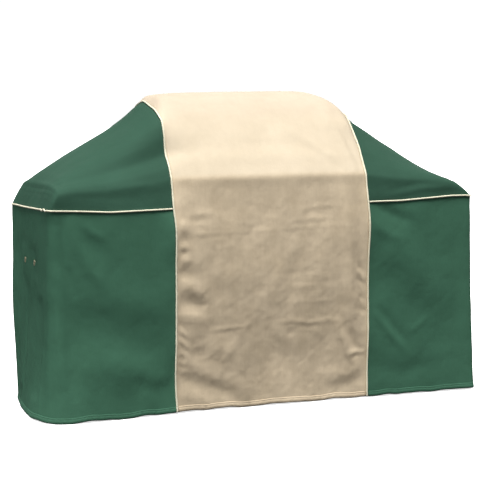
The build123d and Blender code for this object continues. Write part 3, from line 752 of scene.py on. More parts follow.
def stitch_parts(line, normals, pitch=0.0058, length=0.0040, radius=0.00042, lift=0.0002):
    """A row of short thread loops that dip into the cloth at both ends."""
    s = np.concatenate([[0], np.cumsum(np.linalg.norm(np.diff(line, axis=0), axis=1))])
    starts = np.arange(pitch, s[-1] - pitch, pitch)
    pos = lambda q: np.stack([np.interp(q, s, line[:, k]) for k in range(3)], -1)
    nor = lambda q: np.stack([np.interp(q, s, normals[:, k]) for k in range(3)], -1)
    fr = np.array([-0.5, -0.25, 0.25, 0.5])
    dip = np.array([-0.0005, 0.00015, 0.00015, -0.0005]) + lift
    size = np.array([0.6, 1.0, 1.0, 0.6]) * radius
    sides = 5
    a = np.arange(sides) / sides * 2 * np.pi
    verts, faces = [], []
    base = 0
    for c in starts:
        q = c + fr * length
        p, n = pos(q), nor(q)
        n = n / (np.linalg.norm(n, axis=1, keepdims=True) + 1e-9)
        t = p[-1] - p[0]
        t /= np.linalg.norm(t) + 1e-12
        b = np.cross(t, n)
        ring = (p + n * dip[:, None])[:, None] + size[:, None, None] * (
            np.cos(a)[None, :, None] * n[:, None] * 0.8 + np.sin(a)[None, :, None] * b[:, None])
        verts.append(ring.reshape(-1, 3))
        for i in range(3):
            for j in range(sides):
                k = (j + 1) % sides
                faces.append((base + i * sides + j, base + i * sides + k, base + (i + 1) * sides + k, base + (i + 1) * sides + j))
        faces.append(tuple(base + j for j in range(sides))[::-1])
        faces.append(tuple(base + 3 * sides + j for j in range(sides)))
        base += 4 * sides
    return np.concatenate(verts), faces


# -------------------------------------------------------------------- materials
def material(name):
    m = bpy.data.materials.new(name)
    m.use_nodes = True
    m.node_tree.nodes.clear()
    nt = m.node_tree
    out = nt.nodes.new("ShaderNodeOutputMaterial")
    bsdf = nt.nodes.new("ShaderNodeBsdfPrincipled")
    nt.links.new(bsdf.outputs["BSDF"], out.inputs["Surface"])
    return m, nt, bsdf


def node(nt, kind, **values):
    n = nt.nodes.new(kind)
    for k, v in values.items():
        if hasattr(n, k):
            setattr(n, k, v)
        else:
            n.inputs[k].default_value = v
    return n


def noise(nt, coord, scale, detail=3.0, rough=0.55, stretch=None):
    n = node(nt, "ShaderNodeTexNoise")
    n.inputs["Scale"].default_value = scale
    n.inputs["Detail"].default_value = detail
    n.inputs["Roughness"].default_value = rough
    if stretch:
        mp = node(nt, "ShaderNodeMapping")
        mp.inputs["Scale"].default_value = stretch
        nt.links.new(coord, mp.inputs["Vector"])
        nt.links.new(mp.outputs["Vector"], n.inputs["Vector"])
    else:
        nt.links.new(coord, n.inputs["Vector"])
    return n.outputs["Fac"]


def ramp(nt, fac, stops):
    r = node(nt, "ShaderNodeValToRGB")
    el = r.color_ramp.elements
    while len(el) < len(stops):
        el.new(0.5)
    for e, (pos, col) in zip(el, stops):
        e.position = pos
        e.color = (*col, 1)
    nt.links.new(fac, r.inputs["Fac"])
    return r.outputs["Color"]


def mix(nt, fac, a, b, mode="MIX"):
    m = node(nt, "ShaderNodeMix", data_type="RGBA", blend_type=mode)
    if isinstance(fac, (int, float)):
        m.inputs[0].default_value = fac
    else:
        nt.links.new(fac, m.inputs[0])
    for socket, v in ((6, a), (7, b)):
        if isinstance(v, tuple):
            m.inputs[socket].default_value = (*v, 1)
        else:
            nt.links.new(v, m.inputs[socket])
    return m.outputs[2]


def maths(nt, op, a, b=None):
    m = node(nt, "ShaderNodeMath", operation=op)
    for i, v in enumerate((a, b)):
        if v is None:
            continue
        if isinstance(v, (int, float)):
            m.inputs[i].default_value = v
        else:
            nt.links.new(v, m.inputs[i])
    return m.outputs[0]


def weave(nt, uv, pitch):
    """Plain weave: over-and-under threads as a height from 0 to 1."""
    sep = node(nt, "ShaderNodeSeparateXYZ")
    nt.links.new(uv, sep.inputs[0])
    k = math.pi / pitch
    su = maths(nt, "SINE", maths(nt, "MULTIPLY", sep.outputs[0], k))
    sv = maths(nt, "SINE", maths(nt, "MULTIPLY", sep.outputs[1], k))
    cu = maths(nt, "ABSOLUTE", su)
    cv = maths(nt, "ABSOLUTE", sv)
    check = maths(nt, "MULTIPLY", su, sv)
    side = maths(nt, "ADD", maths(nt, "MULTIPLY", check, 0.5), 0.5)
    warp = maths(nt, "MULTIPLY", cu, side)
    weft = maths(nt, "MULTIPLY", cv, maths(nt, "SUBTRACT", 1.0, side))
    return maths(nt, "ADD", warp, weft)


def cloth(name, light, dark, pitch=0.0011, streak=0.5, roughness=0.72, sheen=0.12, mottle=0.5, bump=0.35, worn=0.2, crown=False, specular=0.09):
    m, nt, bsdf = material(name)
    tc = node(nt, "ShaderNodeTexCoord")
    uv, ob = tc.outputs["UV"], tc.outputs["Object"]
    w = weave(nt, uv, pitch)
    broad = noise(nt, ob, 5.5, 4.0, 0.6)
    slub = noise(nt, uv, 1.0, 2.0, 0.6, (900.0, 14.0, 1.0))
    slub2 = noise(nt, uv, 1.0, 2.0, 0.6, (14.0, 900.0, 1.0))
    tone = ramp(nt, broad, [(0.32, dark), (0.68, light)])
    tone = mix(nt, maths(nt, "MULTIPLY", slub, streak * 0.35), tone, dark)
    tone = mix(nt, maths(nt, "MULTIPLY", slub2, streak * 0.25), tone, dark)
    # painted shade: the gaps between the threads are mixed towards a darker tone
    painted_gap_shade = tuple(c * 0.72 for c in dark)
    tone = mix(nt, maths(nt, "MULTIPLY", maths(nt, "SUBTRACT", 1.0, w), 0.22), tone, painted_gap_shade)
    # tone of folding and wear, partly painted shade: soft upright bands and small blotches, darker where the bump from
    # the same field dips
    bands = noise(nt, uv, 1.0, 4.0, 0.65, (46.0, 8.0, 1.0))
    blotch = noise(nt, ob, 21.0, 6.0, 0.68)
    wear_and_dent_shade = maths(nt, "ADD", maths(nt, "MULTIPLY", bands, 0.34), maths(nt, "MULTIPLY", blotch, 0.66))
    # the darker end of this ramp, where the bump dips, is painted shade in the dents
    shade = ramp(nt, wear_and_dent_shade, [(0.40, (0.86, 0.845, 0.82)), (0.60, (1.06, 1.06, 1.06))])
    high = node(nt, "ShaderNodeSeparateXYZ")
    nt.links.new(ob, high.inputs[0])
    hood = node(nt, "ShaderNodeMapRange", interpolation_type="SMOOTHSTEP")
    for k, v in (("From Min", 0.77), ("From Max", 0.80), ("To Min", worn), ("To Max", worn * 0.35)):
        hood.inputs[k].default_value = v
    nt.links.new(high.outputs[2], hood.inputs["Value"])
    tone = mix(nt, hood.outputs["Result"], tone, mix(nt, 1.0, tone, shade, "MULTIPLY"))
    if crown:
        # painted light on the hood: from z 0.776 up the colour is turned cooler and whiter as a painted highlight tint,
        # and over the crest from z 0.945 up it is darkened as painted shade
        painted_highlight_tint = node(nt, "ShaderNodeMapRange", interpolation_type="SMOOTHSTEP")
        for k, v in (("From Min", 0.776), ("From Max", 0.800), ("To Min", 0.0), ("To Max", 1.0)):
            painted_highlight_tint.inputs[k].default_value = v
        nt.links.new(high.outputs[2], painted_highlight_tint.inputs["Value"])
        tone = mix(nt, painted_highlight_tint.outputs["Result"], tone, mix(nt, 1.0, tone, (1.01, 1.05, 1.11), "MULTIPLY"))
        # painted shade: the crest is darkened towards its top
        painted_crest_shade = node(nt, "ShaderNodeMapRange", interpolation_type="SMOOTHSTEP")
        for k, v in (("From Min", 0.945), ("From Max", 1.045), ("To Min", 0.0), ("To Max", 1.0)):
            painted_crest_shade.inputs[k].default_value = v
        nt.links.new(high.outputs[2], painted_crest_shade.inputs["Value"])
        tone = mix(nt, painted_crest_shade.outputs["Result"], tone, mix(nt, 1.0, tone, (0.86, 0.845, 0.87), "MULTIPLY"))
    dust = noise(nt, ob, 38.0, 5.0, 0.65)
    tone = mix(nt, maths(nt, "MULTIPLY", maths(nt, "SUBTRACT", dust, 0.40), mottle), tone, light)
    nt.links.new(tone, bsdf.inputs["Base Color"])
    rough = maths(nt, "ADD", roughness - 0.08, maths(nt, "MULTIPLY", dust, 0.16))
    nt.links.new(rough, bsdf.inputs["Roughness"])
    bsdf.inputs["Sheen Weight"].default_value = sheen
    bsdf.inputs["Sheen Roughness"].default_value = 0.5
    bsdf.inputs["Specular IOR Level"].default_value = specular
    b1 = node(nt, "ShaderNodeBump")
    b1.inputs["Strength"].default_value = bump
    b1.inputs["Distance"].default_value = 0.0004
    nt.links.new(w, b1.inputs["Height"])
    crumple = noise(nt, ob, 60.0, 4.0, 0.6)
    b2 = node(nt, "ShaderNodeBump")
    b2.inputs["Strength"].default_value = 0.35
    b2.inputs["Distance"].default_value = 0.0011
    nt.links.new(crumple, b2.inputs["Height"])
    nt.links.new(b1.outputs["Normal"], b2.inputs["Normal"])
    b3 = node(nt, "ShaderNodeBump")
    b3.inputs["Strength"].default_value = 0.30 + 0.5 * worn
    b3.inputs["Distance"].default_value = 0.0024
    nt.links.new(wear_and_dent_shade, b3.inputs["Height"])
    nt.links.new(b2.outputs["Normal"], b3.inputs["Normal"])
    nt.links.new(b3.outputs["Normal"], bsdf.inputs["Normal"])
    return m


def coated(name, light, dark):
    """Backing: a pale coating with the weave showing through faintly."""
    m, nt, bsdf = material(name)
    tc = node(nt, "ShaderNodeTexCoord")
    w = weave(nt, tc.outputs["UV"], 0.0011)
    cloud = noise(nt, tc.outputs["Object"], 9.0, 5.0, 0.6)
    tone = ramp(nt, cloud, [(0.3, dark), (0.7, light)])
    tone = mix(nt, maths(nt, "MULTIPLY", w, 0.14), tone, dark)
    nt.links.new(tone, bsdf.inputs["Base Color"])
    rough = maths(nt, "ADD", 0.42, maths(nt, "MULTIPLY", cloud, 0.2))
    nt.links.new(rough, bsdf.inputs["Roughness"])
    bsdf.inputs["Specular IOR Level"].default_value = 0.4
    b = node(nt, "ShaderNodeBump")
    b.inputs["Strength"].default_value = 0.2
    b.inputs["Distance"].default_value = 0.0003
    nt.links.new(w, b.inputs["Height"])
    nt.links.new(b.outputs["Normal"], bsdf.inputs["Normal"])
    return m


def cord_cloth(name, light, dark, pitch=0.0009):
    """Bias-cut strip over the filler cord: fine diagonal weave."""
    m, nt, bsdf = material(name)
    tc = node(nt, "ShaderNodeTexCoord")
    rot = node(nt, "ShaderNodeMapping")
    rot.inputs["Rotation"].default_value = (0, 0, math.radians(45))
    nt.links.new(tc.outputs["UV"], rot.inputs["Vector"])
    w = weave(nt, rot.outputs["Vector"], pitch)
    cloud = noise(nt, tc.outputs["Object"], 26.0, 4.0, 0.6)
    tone = ramp(nt, cloud, [(0.3, dark), (0.7, light)])
    # painted shade: the gaps of the weave are mixed towards a darker tone
    tone = mix(nt, maths(nt, "MULTIPLY", maths(nt, "SUBTRACT", 1.0, w), 0.25), tone, tuple(c * 0.7 for c in dark))
    nt.links.new(tone, bsdf.inputs["Base Color"])
    rough = maths(nt, "ADD", 0.62, maths(nt, "MULTIPLY", cloud, 0.15))
    nt.links.new(rough, bsdf.inputs["Roughness"])
    bsdf.inputs["Sheen Weight"].default_value = 0.1
    b = node(nt, "ShaderNodeBump")
    b.inputs["Strength"].default_value = 0.5
    b.inputs["Distance"].default_value = 0.0003
    nt.links.new(w, b.inputs["Height"])
    nt.links.new(b.outputs["Normal"], bsdf.inputs["Normal"])
    return m


def metal(name, light, dark):
    m, nt, bsdf = material(name)
    tc = node(nt, "ShaderNodeTexCoord")
    cloud = noise(nt, tc.outputs["Object"], 260.0, 4.0, 0.6)
    tone = ramp(nt, cloud, [(0.35, dark), (0.65, light)])
    nt.links.new(tone, bsdf.inputs["Base Color"])
    rough = maths(nt, "ADD", 0.26, maths(nt, "MULTIPLY", cloud, 0.3))
    nt.links.new(rough, bsdf.inputs["Roughness"])
    bsdf.inputs["Metallic"].default_value = 1.0
    b = node(nt, "ShaderNodeBump")
    b.inputs["Strength"].default_value = 0.15
    b.inputs["Distance"].default_value = 0.0002
    nt.links.new(cloud, b.inputs["Height"])
    nt.links.new(b.outputs["Normal"], bsdf.inputs["Normal"])
    return m


def ribbed(name, light, dark, pitch, across=True, nap=0.0):
    """Webbing ribs, or the nap of hook-and-loop tape."""
    m, nt, bsdf = material(name)
    tc = node(nt, "ShaderNodeTexCoord")
    sep = node(nt, "ShaderNodeSeparateXYZ")
    nt.links.new(tc.outputs["UV"], sep.inputs[0])
    k = 2 * math.pi / pitch
    rib = maths(nt, "SINE", maths(nt, "MULTIPLY", sep.outputs[0], k))
    pick = maths(nt, "SINE", maths(nt, "MULTIPLY", sep.outputs[1], k * 0.8))
    h = maths(nt, "ADD", maths(nt, "MULTIPLY", rib, 0.5), maths(nt, "MULTIPLY", pick, 0.3))
    fuzz = noise(nt, tc.outputs["Object"], 900.0 if nap else 320.0, 3.0, 0.6)
    h = maths(nt, "ADD", h, maths(nt, "MULTIPLY", fuzz, 0.4 + nap))
    # painted shade and highlight: the tone follows the rib height, darker in the grooves and lighter on the tops
    tone = ramp(nt, maths(nt, "ADD", maths(nt, "MULTIPLY", h, 0.4), 0.4), [(0.2, dark), (0.8, light)])
    nt.links.new(tone, bsdf.inputs["Base Color"])
    rough = maths(nt, "ADD", 0.6, maths(nt, "MULTIPLY", fuzz, 0.25))
    nt.links.new(rough, bsdf.inputs["Roughness"])
    bsdf.inputs["Sheen Weight"].default_value = 0.15 + nap * 0.3
    b = node(nt, "ShaderNodeBump")
    b.inputs["Strength"].default_value = 0.6
    b.inputs["Distance"].default_value = 0.0004
    nt.links.new(h, b.inputs["Height"])
    nt.links.new(b.outputs["Normal"], bsdf.inputs["Normal"])
    return m


# crown=True paints light on the tan hood: a whiter highlight tint and painted shade over the crest
TAN = cloth("tan_cloth", (0.656, 0.541, 0.387), (0.587, 0.480, 0.336), streak=0.45, roughness=0.80, sheen=0.0, mottle=0.34, worn=0.55, crown=True, specular=0.34)
GREEN = cloth("green_cloth", (0.0570, 0.1540, 0.0985), (0.0494, 0.1360, 0.0858), streak=0.35, roughness=0.78, sheen=0.0, mottle=0.45)
# painted shade: a darker copy of the green cloth for the upward-facing top panels, to hold back their brightness under
# the key light
GREEN_TOP_PAINTED_SHADE = cloth("green_cloth_top_painted_shade", (0.0335, 0.0865, 0.0578), (0.0293, 0.0768, 0.0508), streak=0.35, roughness=0.78, sheen=0.0, mottle=0.45)
TAN_BACK = coated("tan_backing", (0.60, 0.58, 0.53), (0.50, 0.48, 0.43))
GREEN_BACK = coated("green_backing", (0.115, 0.170, 0.140), (0.080, 0.130, 0.105))
PIPING = cord_cloth("piping_cloth", (0.82, 0.78, 0.60), (0.76, 0.72, 0.55))
FILLER = cord_cloth("filler_cord", (0.78, 0.75, 0.68), (0.62, 0.59, 0.52), 0.0014)
THREAD_TAN = cord_cloth("tan_thread", (0.60, 0.51, 0.38), (0.50, 0.42, 0.31), 0.0006)
THREAD_GREEN = cord_cloth("green_thread", (0.052, 0.120, 0.082), (0.036, 0.090, 0.060), 0.0006)
BRASS = metal("aged_brass", (0.72, 0.67, 0.46), (0.50, 0.46, 0.31))
WEBBING = ribbed("webbing", (0.040, 0.045, 0.040), (0.012, 0.014, 0.012), 0.0016)
LOOP = ribbed("loop_tape", (0.060, 0.062, 0.060), (0.018, 0.019, 0.018), 0.0020, nap=0.9)
HOOK = ribbed("hook_tape", (0.050, 0.052, 0.050), (0.010, 0.011, 0.010), 0.0015, nap=0.3)


# ------------------------------------------------------------------- the panels
EYELETS = [(-0.052, 0.508), (0.078, 0.508)]


def open_holes(p, side, centres, ring_r, reach=0.03, x_face=None):
    """Bring a grid point to each hole centre and its neighbours onto a ring."""
    for cy, cz in centres:
        d = np.hypot(p[..., 1] - cy, p[..., 2] - cz) + 10 * (np.sign(p[..., 0]) != side) + 10 * (np.abs(p[..., 0]) < 0.74)
        i, j = np.unravel_index(np.argmin(d), d.shape)
        off = np.array([0, cy, cz]) - p[i, j] * np.array([0, 1, 1])
        w = np.exp(-(d / reach) ** 2)
        w[d > 1] = 0
        p += w[..., None] * off * np.array([0, 1, 1])
        p[i, j, 1], p[i, j, 2] = cy, cz
        for di in (-1, 0, 1):
            for dj in (-1, 0, 1):
                if di or dj:
                    v = p[i + di, j + dj]
                    a = math.atan2(v[2] - cz, v[1] - cy)
                    a = round(a / (math.pi / 4)) * math.pi / 4
                    v[1], v[2] = cy + ring_r * math.cos(a), cz + ring_r * math.sin(a)
    return p


def hole_list(side, centres, x, r=0.0062):
    return [(np.array([side * x, cy, cz]), r) for cy, cz in centres]


raw_centre, CT = centre_grid()
P_CENTRE = drape(raw_centre)
P_TOP, P_SKIRT, RAW_TOP = {}, {}, {}
for side in (-1, 1):
    g = skirt_grid(side)
    edge = g[-1]
    P_SKIRT[side] = open_holes(drape(g), side, EYELETS, 0.0076)
    top, TT = top_grid(side)
    # the lower edge of the top panel is the upper edge of the skirt
    dense = resample(edge, 0.0005)
    for rows in (top[0], top[-1], top[:, -1]):
        d = ((rows[:, None, :2] - dense[None, ::2, :2]) ** 2).sum(-1)
        rows[:] = dense[::2][np.argmin(d, 1)]
    top[:, 0] = seam(side, TT)
    RAW_TOP[side] = top
    P_TOP[side] = drape(top)

END = {-1: "left", 1: "right"}
OBJ = {}
OBJ["centre"] = cloth_object("centre_panel_cloth", P_CENTRE, (TAN, TAN_BACK))
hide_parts("centre_panel")
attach(OBJ["centre"], "cover")
for side in (-1, 1):
    e = END[side]
    # the top panels use the painted-shade copy of the green cloth
    top = cloth_object(f"{e}_top_panel_cloth", P_TOP[side], (GREEN_TOP_PAINTED_SHADE, GREEN_BACK))
    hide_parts(f"{e}_top_panel")
    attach(top, "cover")
    skirt = cloth_object(f"{e}_skirt_cloth", P_SKIRT[side], (GREEN, GREEN_BACK), holes=hole_list(side, EYELETS, END_X))
    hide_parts(f"{e}_skirt")
    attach(skirt, "cover")
    OBJ[e, "top"], OBJ[e, "skirt"] = top, skirt


# ------------------------------------------------------------------- the piping
def tube_uv(n, sides, length, around):
    u = np.linspace(0, around, sides, endpoint=False)
    v = np.linspace(0, length, n)
    return np.stack(np.meshgrid(u, v), -1).reshape(-1, 2)


def line_length(line):
    return np.linalg.norm(np.diff(line, axis=0), axis=1).sum()


def piping(name, line, hints, nodes, filler_node, radius=0.0030, flange=0.008):
    line = resample(line, 0.0045)
    hints = hints(line)
    _, o, s = frames(line, hints)
    rng = np.random.default_rng(len(line))
    bump = np.convolve(rng.normal(size=len(line) + 8), np.ones(5) / 5, mode="same")[4:-4]
    centre = line + o * (0.0020 + 0.00012 * bump)[:, None]
    r = radius * (1 + 0.035 * bump)
    tv, tf = tube(centre, hints, r, 14, bore=0.0018)
    fv, ff = slab_strip(line + o * 0.0004, -o, s, flange, 0.0010)
    verts, faces = join_parts([(tv, tf), (fv, ff)])
    n = len(line)
    L = line_length(line)
    uv = np.concatenate([
        tube_uv(n, 14, L, 0.020), tube_uv(n, 14, L, 0.011),
        np.concatenate([np.stack([np.full(n, k), np.linspace(0, L, n)], 1) for k in (0, flange, flange, 0)]),
    ])
    ob = mesh_object(name, verts, faces, uv, (PIPING,))
    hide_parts(*nodes)
    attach(ob, "cover")
    wv, wf = tube(centre, hints, 0.0016, 8)
    core = mesh_object(name.replace("_piping", "_filler"), wv, wf, tube_uv(n, 8, L, 0.010), (FILLER,))
    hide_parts(filler_node)
    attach(core, "cover")
    return ob


t_all = even(0, I_LAST, 0.004)
for side in (-1, 1):
    e = END[side]
    raw = seam(side, t_all)
    line = drape(raw)

    def hints(q, side=side):
        h = outward(q)
        tilt = smooth(0.72, 0.9, q[:, 2]) * 0.45
        h = h + np.stack([side * tilt, np.zeros(len(q)), np.zeros(len(q))], 1)
        return h

    OBJ[e, "centre_piping"] = piping(f"{e}_centre_piping_strip", line, hints, [f"{e}_centre_piping"], f"{e}_centre_piping_cord")

    shoulder = P_SKIRT[side][-1]
    trim = resample(shoulder, 0.0045)[1:-1]
    OBJ[e, "shoulder_piping"] = piping(
        f"{e}_shoulder_piping_strip", trim, lambda q: outward(q) * np.array([1, 1, 0.0]) + np.array([0, 0, 1e-3]),
        [f"{e}_shoulder_piping"], f"{e}_shoulder_piping_cord")


# --------------------------------------------------------------------- the hems
def column_points(p, n, h):
    """Points and normals h metres up from the first row of a grid, along each column."""
    seg = np.linalg.norm(np.diff(p[:8], axis=0), axis=-1)
    s = np.concatenate([np.zeros((1, p.shape[1])), np.cumsum(seg, 0)])
    out, nor = np.empty((p.shape[1], 3)), np.empty((p.shape[1], 3))
    for j in range(p.shape[1]):
        k = np.clip(np.searchsorted(s[:, j], h) - 1, 0, 6)
        f = (h - s[k, j]) / (s[k + 1, j] - s[k, j])
        out[j] = p[k, j] * (1 - f) + p[k + 1, j] * f
        nor[j] = n[k, j] * (1 - f) + n[k + 1, j] * f
    return out, nor / (np.linalg.norm(nor, axis=1, keepdims=True) + 1e-12)


HEM_SECTION = [
    (18.0, 0.35), (17.0, 1.0), (14.6, 1.35), (13.6, 0.95), (12.6, 1.35), (9.5, 2.2), (6.0, 2.4),
    (3.0, 2.0), (1.0, 1.3), (-0.6, 0.6), (-1.1, -0.6), (-0.6, -1.8), (1.0, -2.4), (6.0, -2.9),
    (12.0, -2.6), (14.0, -2.2), (17.0, -2.2), (18.0, -1.6),
]


def hem(name, p, node_name, mats, trim=1, seed=5):
    n = grid_normals(p)
    cols = slice(trim, p.shape[1] - trim)
    p, n = p[:, cols], n[:, cols]
    count = p.shape[1]
    base, _ = column_points(p, n, 0.0)
    s = np.concatenate([[0], np.cumsum(np.linalg.norm(np.diff(base, axis=0), axis=1))])
    fine = np.linspace(0, s[-1], int(s[-1] / 0.0034) + 2)
    # puckers from the stitching
    rng = np.random.default_rng(seed)
    waves = [(rng.uniform(0.011, 0.034), rng.uniform(0, 6.28), rng.uniform(0.4, 1)) for _ in range(9)]
    pucker = sum(a * np.sin(2 * np.pi * fine / w + f) for w, f, a in waves) / 2.4
    rings = []
    for k, (h, o) in enumerate(HEM_SECTION):
        q, m = column_points(p, n, max(h, 0) / 1000)
        q = np.stack([np.interp(fine, s, q[:, c]) for c in range(3)], 1)
        m = np.stack([np.interp(fine, s, m[:, c]) for c in range(3)], 1)
        m /= np.linalg.norm(m, axis=1, keepdims=True) + 1e-12
        amount = np.exp(-((h - 7) / 5.5) ** 2) * (1 if o > 0 else 0.3)
        q = q + m * ((o + np.sign(o) * 0.55 * amount * pucker) / 1000)[:, None]
        q[:, 2] += min(h, 0) / 1000
        rings.append(q)
    ring = np.stack(rings, 1)
    nn, kk = ring.shape[:2]
    idx = np.arange(nn * kk).reshape(nn, kk)
    nxt = np.roll(idx, -1, 1)
    quad = np.stack([idx[:-1], nxt[:-1], nxt[1:], idx[1:]], -1).reshape(-1, 4)
    a, b, c = ring.reshape(-1, 3)[quad[0, 0]], ring.reshape(-1, 3)[quad[0, 1]], ring.reshape(-1, 3)[quad[0, 3]]
    out = n[0, 0]
    flip = np.dot(np.cross(b - a, c - a), out) < 0
    if flip:
        quad = quad[:, ::-1]
    caps = [tuple(idx[0]), tuple(idx[-1][::-1])]
    if flip:
        caps = [tuple(idx[0][::-1]), tuple(idx[-1])]
    caps = [c[::-1] for c in caps]
    around = np.concatenate([[0], np.cumsum(np.hypot(*np.diff(np.array(HEM_SECTION), axis=0).T))]) / 1000
    uv = np.stack(np.meshgrid(around, fine), -1).reshape(-1, 2)
    ob = mesh_object(name, ring.reshape(-1, 3), [tuple(f) for f in quad] + caps, uv, mats)
    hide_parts(node_name)
    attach(ob, "cover")
    # stitch line, sitting in the groove
    groove = ring[:, 3] + 0
    q, m = column_points(p, n, 0.0136)
    m = np.stack([np.interp(fine, s, m[:, c]) for c in range(3)], 1)
    return ob, groove, m


stitches = {"tan": [], "green": []}
front = P_CENTRE[:12]
rear = P_CENTRE[::-1][:12]
ob, g, m = hem("centre_front_hem_band", front, "centre_front_hem", (TAN, TAN_BACK), seed=5)
OBJ["front_hem"] = ob
stitches["tan"].append((g, m))
ob, g, m = hem("centre_rear_hem_band", rear, "centre_rear_hem", (TAN, TAN_BACK), seed=6)
OBJ["rear_hem"] = ob
stitches["tan"].append((g, m))
for side in (-1, 1):
    e = END[side]
    ob, g, m = hem(f"{e}_skirt_hem_band", P_SKIRT[side][:12], f"{e}_skirt_hem", (GREEN, GREEN_BACK), seed=8 + side)
    OBJ[e, "hem"] = ob
    stitches["green"].append((g, m))

# topstitching beside the seams
for side in (-1, 1):
    nt_, ns_ = grid_normals(P_TOP[side]), grid_normals(P_SKIRT[side])
    line = P_TOP[side][:, 0] + (P_TOP[side][:, 1] - P_TOP[side][:, 0]) * 1.0
    stitches["green"].append((line[1:-1], nt_[1:-1, 1]))
    line = P_SKIRT[side][-1] + (P_SKIRT[side][-2] - P_SKIRT[side][-1]) * 0.95
    stitches["green"].append((line[1:-1], ns_[-2, 1:-1]))
    for j, k in ((0, 1), (-1, -2)):
        line = P_SKIRT[side][:, j] + (P_SKIRT[side][:, k] - P_SKIRT[side][:, j]) * 1.0
        stitches["green"].append((line[3:-1], ns_[3:-1, k]))
for tone, mat in (("tan", THREAD_TAN), ("green", THREAD_GREEN)):
    parts = [stitch_parts(l, m) for l, m in stitches[tone]]
    v, f = join_parts(parts)
    ob = mesh_object(f"{tone}_stitching", v, f, v[:, :2], (mat,))
    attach(ob, "cover")
    OBJ[tone, "stitching"] = ob


# ------------------------------------------------- eyelet patches and the straps
def rounded_grid(side, x, cy, cz, w, h, r, step):
    ny, nz = int(round(w / step)) + 1, int(round(h / step)) + 1
    gy, gz = np.meshgrid(np.linspace(-w / 2, w / 2, ny), np.linspace(-h / 2, h / 2, nz))
    p = np.clip((np.abs(gy) - (w / 2 - r)) / r, 0, 1)
    q = np.clip((np.abs(gz) - (h / 2 - r)) / r, 0, 1)
    inside = (p > 0) & (q > 0)
    gy = np.where(inside, np.sign(gy) * (w / 2 - r + r * p * np.sqrt(1 - q * q / 2)), gy)
    gz = np.where(inside, np.sign(gz) * (h / 2 - r + r * q * np.sqrt(1 - p * p / 2)), gz)
    return np.stack([np.full_like(gy, side * x), cy + gy, cz + gz], -1)


def ribbon(side, x_in, x_out, y, z_lo, z_hi, width, round_lo=0.0, round_hi=0.0, wobble=0.0, seed=1):
    """Upright strap between two x faces, with soft selvedges."""
    n = max(8, int((z_hi - z_lo) / 0.003))
    z = np.linspace(z_hi, z_lo, n)
    half = np.full(n, width / 2)
    for r, d in ((round_lo, z - z_lo), (round_hi, z_hi - z)):
        if r:
            k = np.clip(1 - d / r, 0, 1)
            half -= r * (1 - np.sqrt(np.clip(1 - k * k, 0, 1)))
    half = np.maximum(half, 0.0015)
    sides = 28
    a = (np.arange(sides) + 0.5) / sides * 2 * np.pi
    cu = np.sign(np.cos(a)) * np.abs(np.cos(a)) ** 0.45
    cv = np.sign(np.sin(a)) * np.abs(np.sin(a)) ** 0.40
    mid, th = (x_in + x_out) / 2, (x_out - x_in) / 2
    thick = np.full(n, th)
    thick[0] *= 0.7
    thick[-1] *= 0.7
    rng = np.random.default_rng(seed)
    edge = 1 + 0.006 * np.convolve(rng.normal(size=n + 4), np.ones(3) / 3, mode="same")[2:-2]
    X = side * (mid + cv[None, :] * thick[:, None])
    Y = y + cu[None, :] * (half * edge)[:, None]
    Z = np.repeat(z[:, None], sides, 1)
    verts = np.stack([X, Y, Z], -1).reshape(-1, 3)
    idx = np.arange(n * sides).reshape(n, sides)
    nxt = np.roll(idx, -1, 1)
    quad = np.stack([idx[:-1], nxt[:-1], nxt[1:], idx[1:]], -1).reshape(-1, 4)
    faces = [tuple(f) for f in quad] + [tuple(idx[0][::-1]), tuple(idx[-1])]
    if side < 0:
        pass
    uv = np.stack([Y - y, Z], -1).reshape(-1, 2)
    return verts, faces, uv


def outward_faces(verts, faces):
    """Turn a closed part's faces outwards."""
    vol = 0.0
    c = verts.mean(0)
    for f in faces:
        p = verts[list(f)] - c
        for i in range(1, len(f) - 1):
            vol += np.dot(p[0], np.cross(p[i], p[i + 1]))
    return faces if vol > 0 else [tuple(f[::-1]) for f in faces]


def strap_piece(name, parts, mats, nodes, body, materials=None):
    vs, fs, us, mi, k = [], [], [], [], 0
    for i, (v, f, uv) in enumerate(parts):
        f = outward_faces(v, f)
        vs.append(v)
        us.append(uv)
        fs += [tuple(j + k for j in face) for face in f]
        mi += [materials[i] if materials else 0] * len(f)
        k += len(v)
    ob = mesh_object(name, np.concatenate(vs), fs, np.concatenate(us), mats, mi)
    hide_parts(*nodes)
    return ob


def box_stitch(side, x, y, z, w, h):
    """A sewn box with a cross in it, on the inner face of a tab."""
    n = np.array([-side, 0, 0.0])
    c = [(-w / 2, -h / 2), (w / 2, -h / 2), (w / 2, h / 2), (-w / 2, h / 2)]
    runs = [(c[0], c[1]), (c[1], c[2]), (c[2], c[3]), (c[3], c[0]), (c[0], c[2]), (c[1], c[3])]
    parts = []
    for a, b in runs:
        line = np.array([[side * x, y + a[0], z + a[1]], [side * x, y + b[0], z + b[1]]])
        line = resample(line, 0.002)
        parts.append(stitch_parts(line, np.tile(n, (len(line), 1)), pitch=0.0034, length=0.0026, radius=0.0003))
    return parts


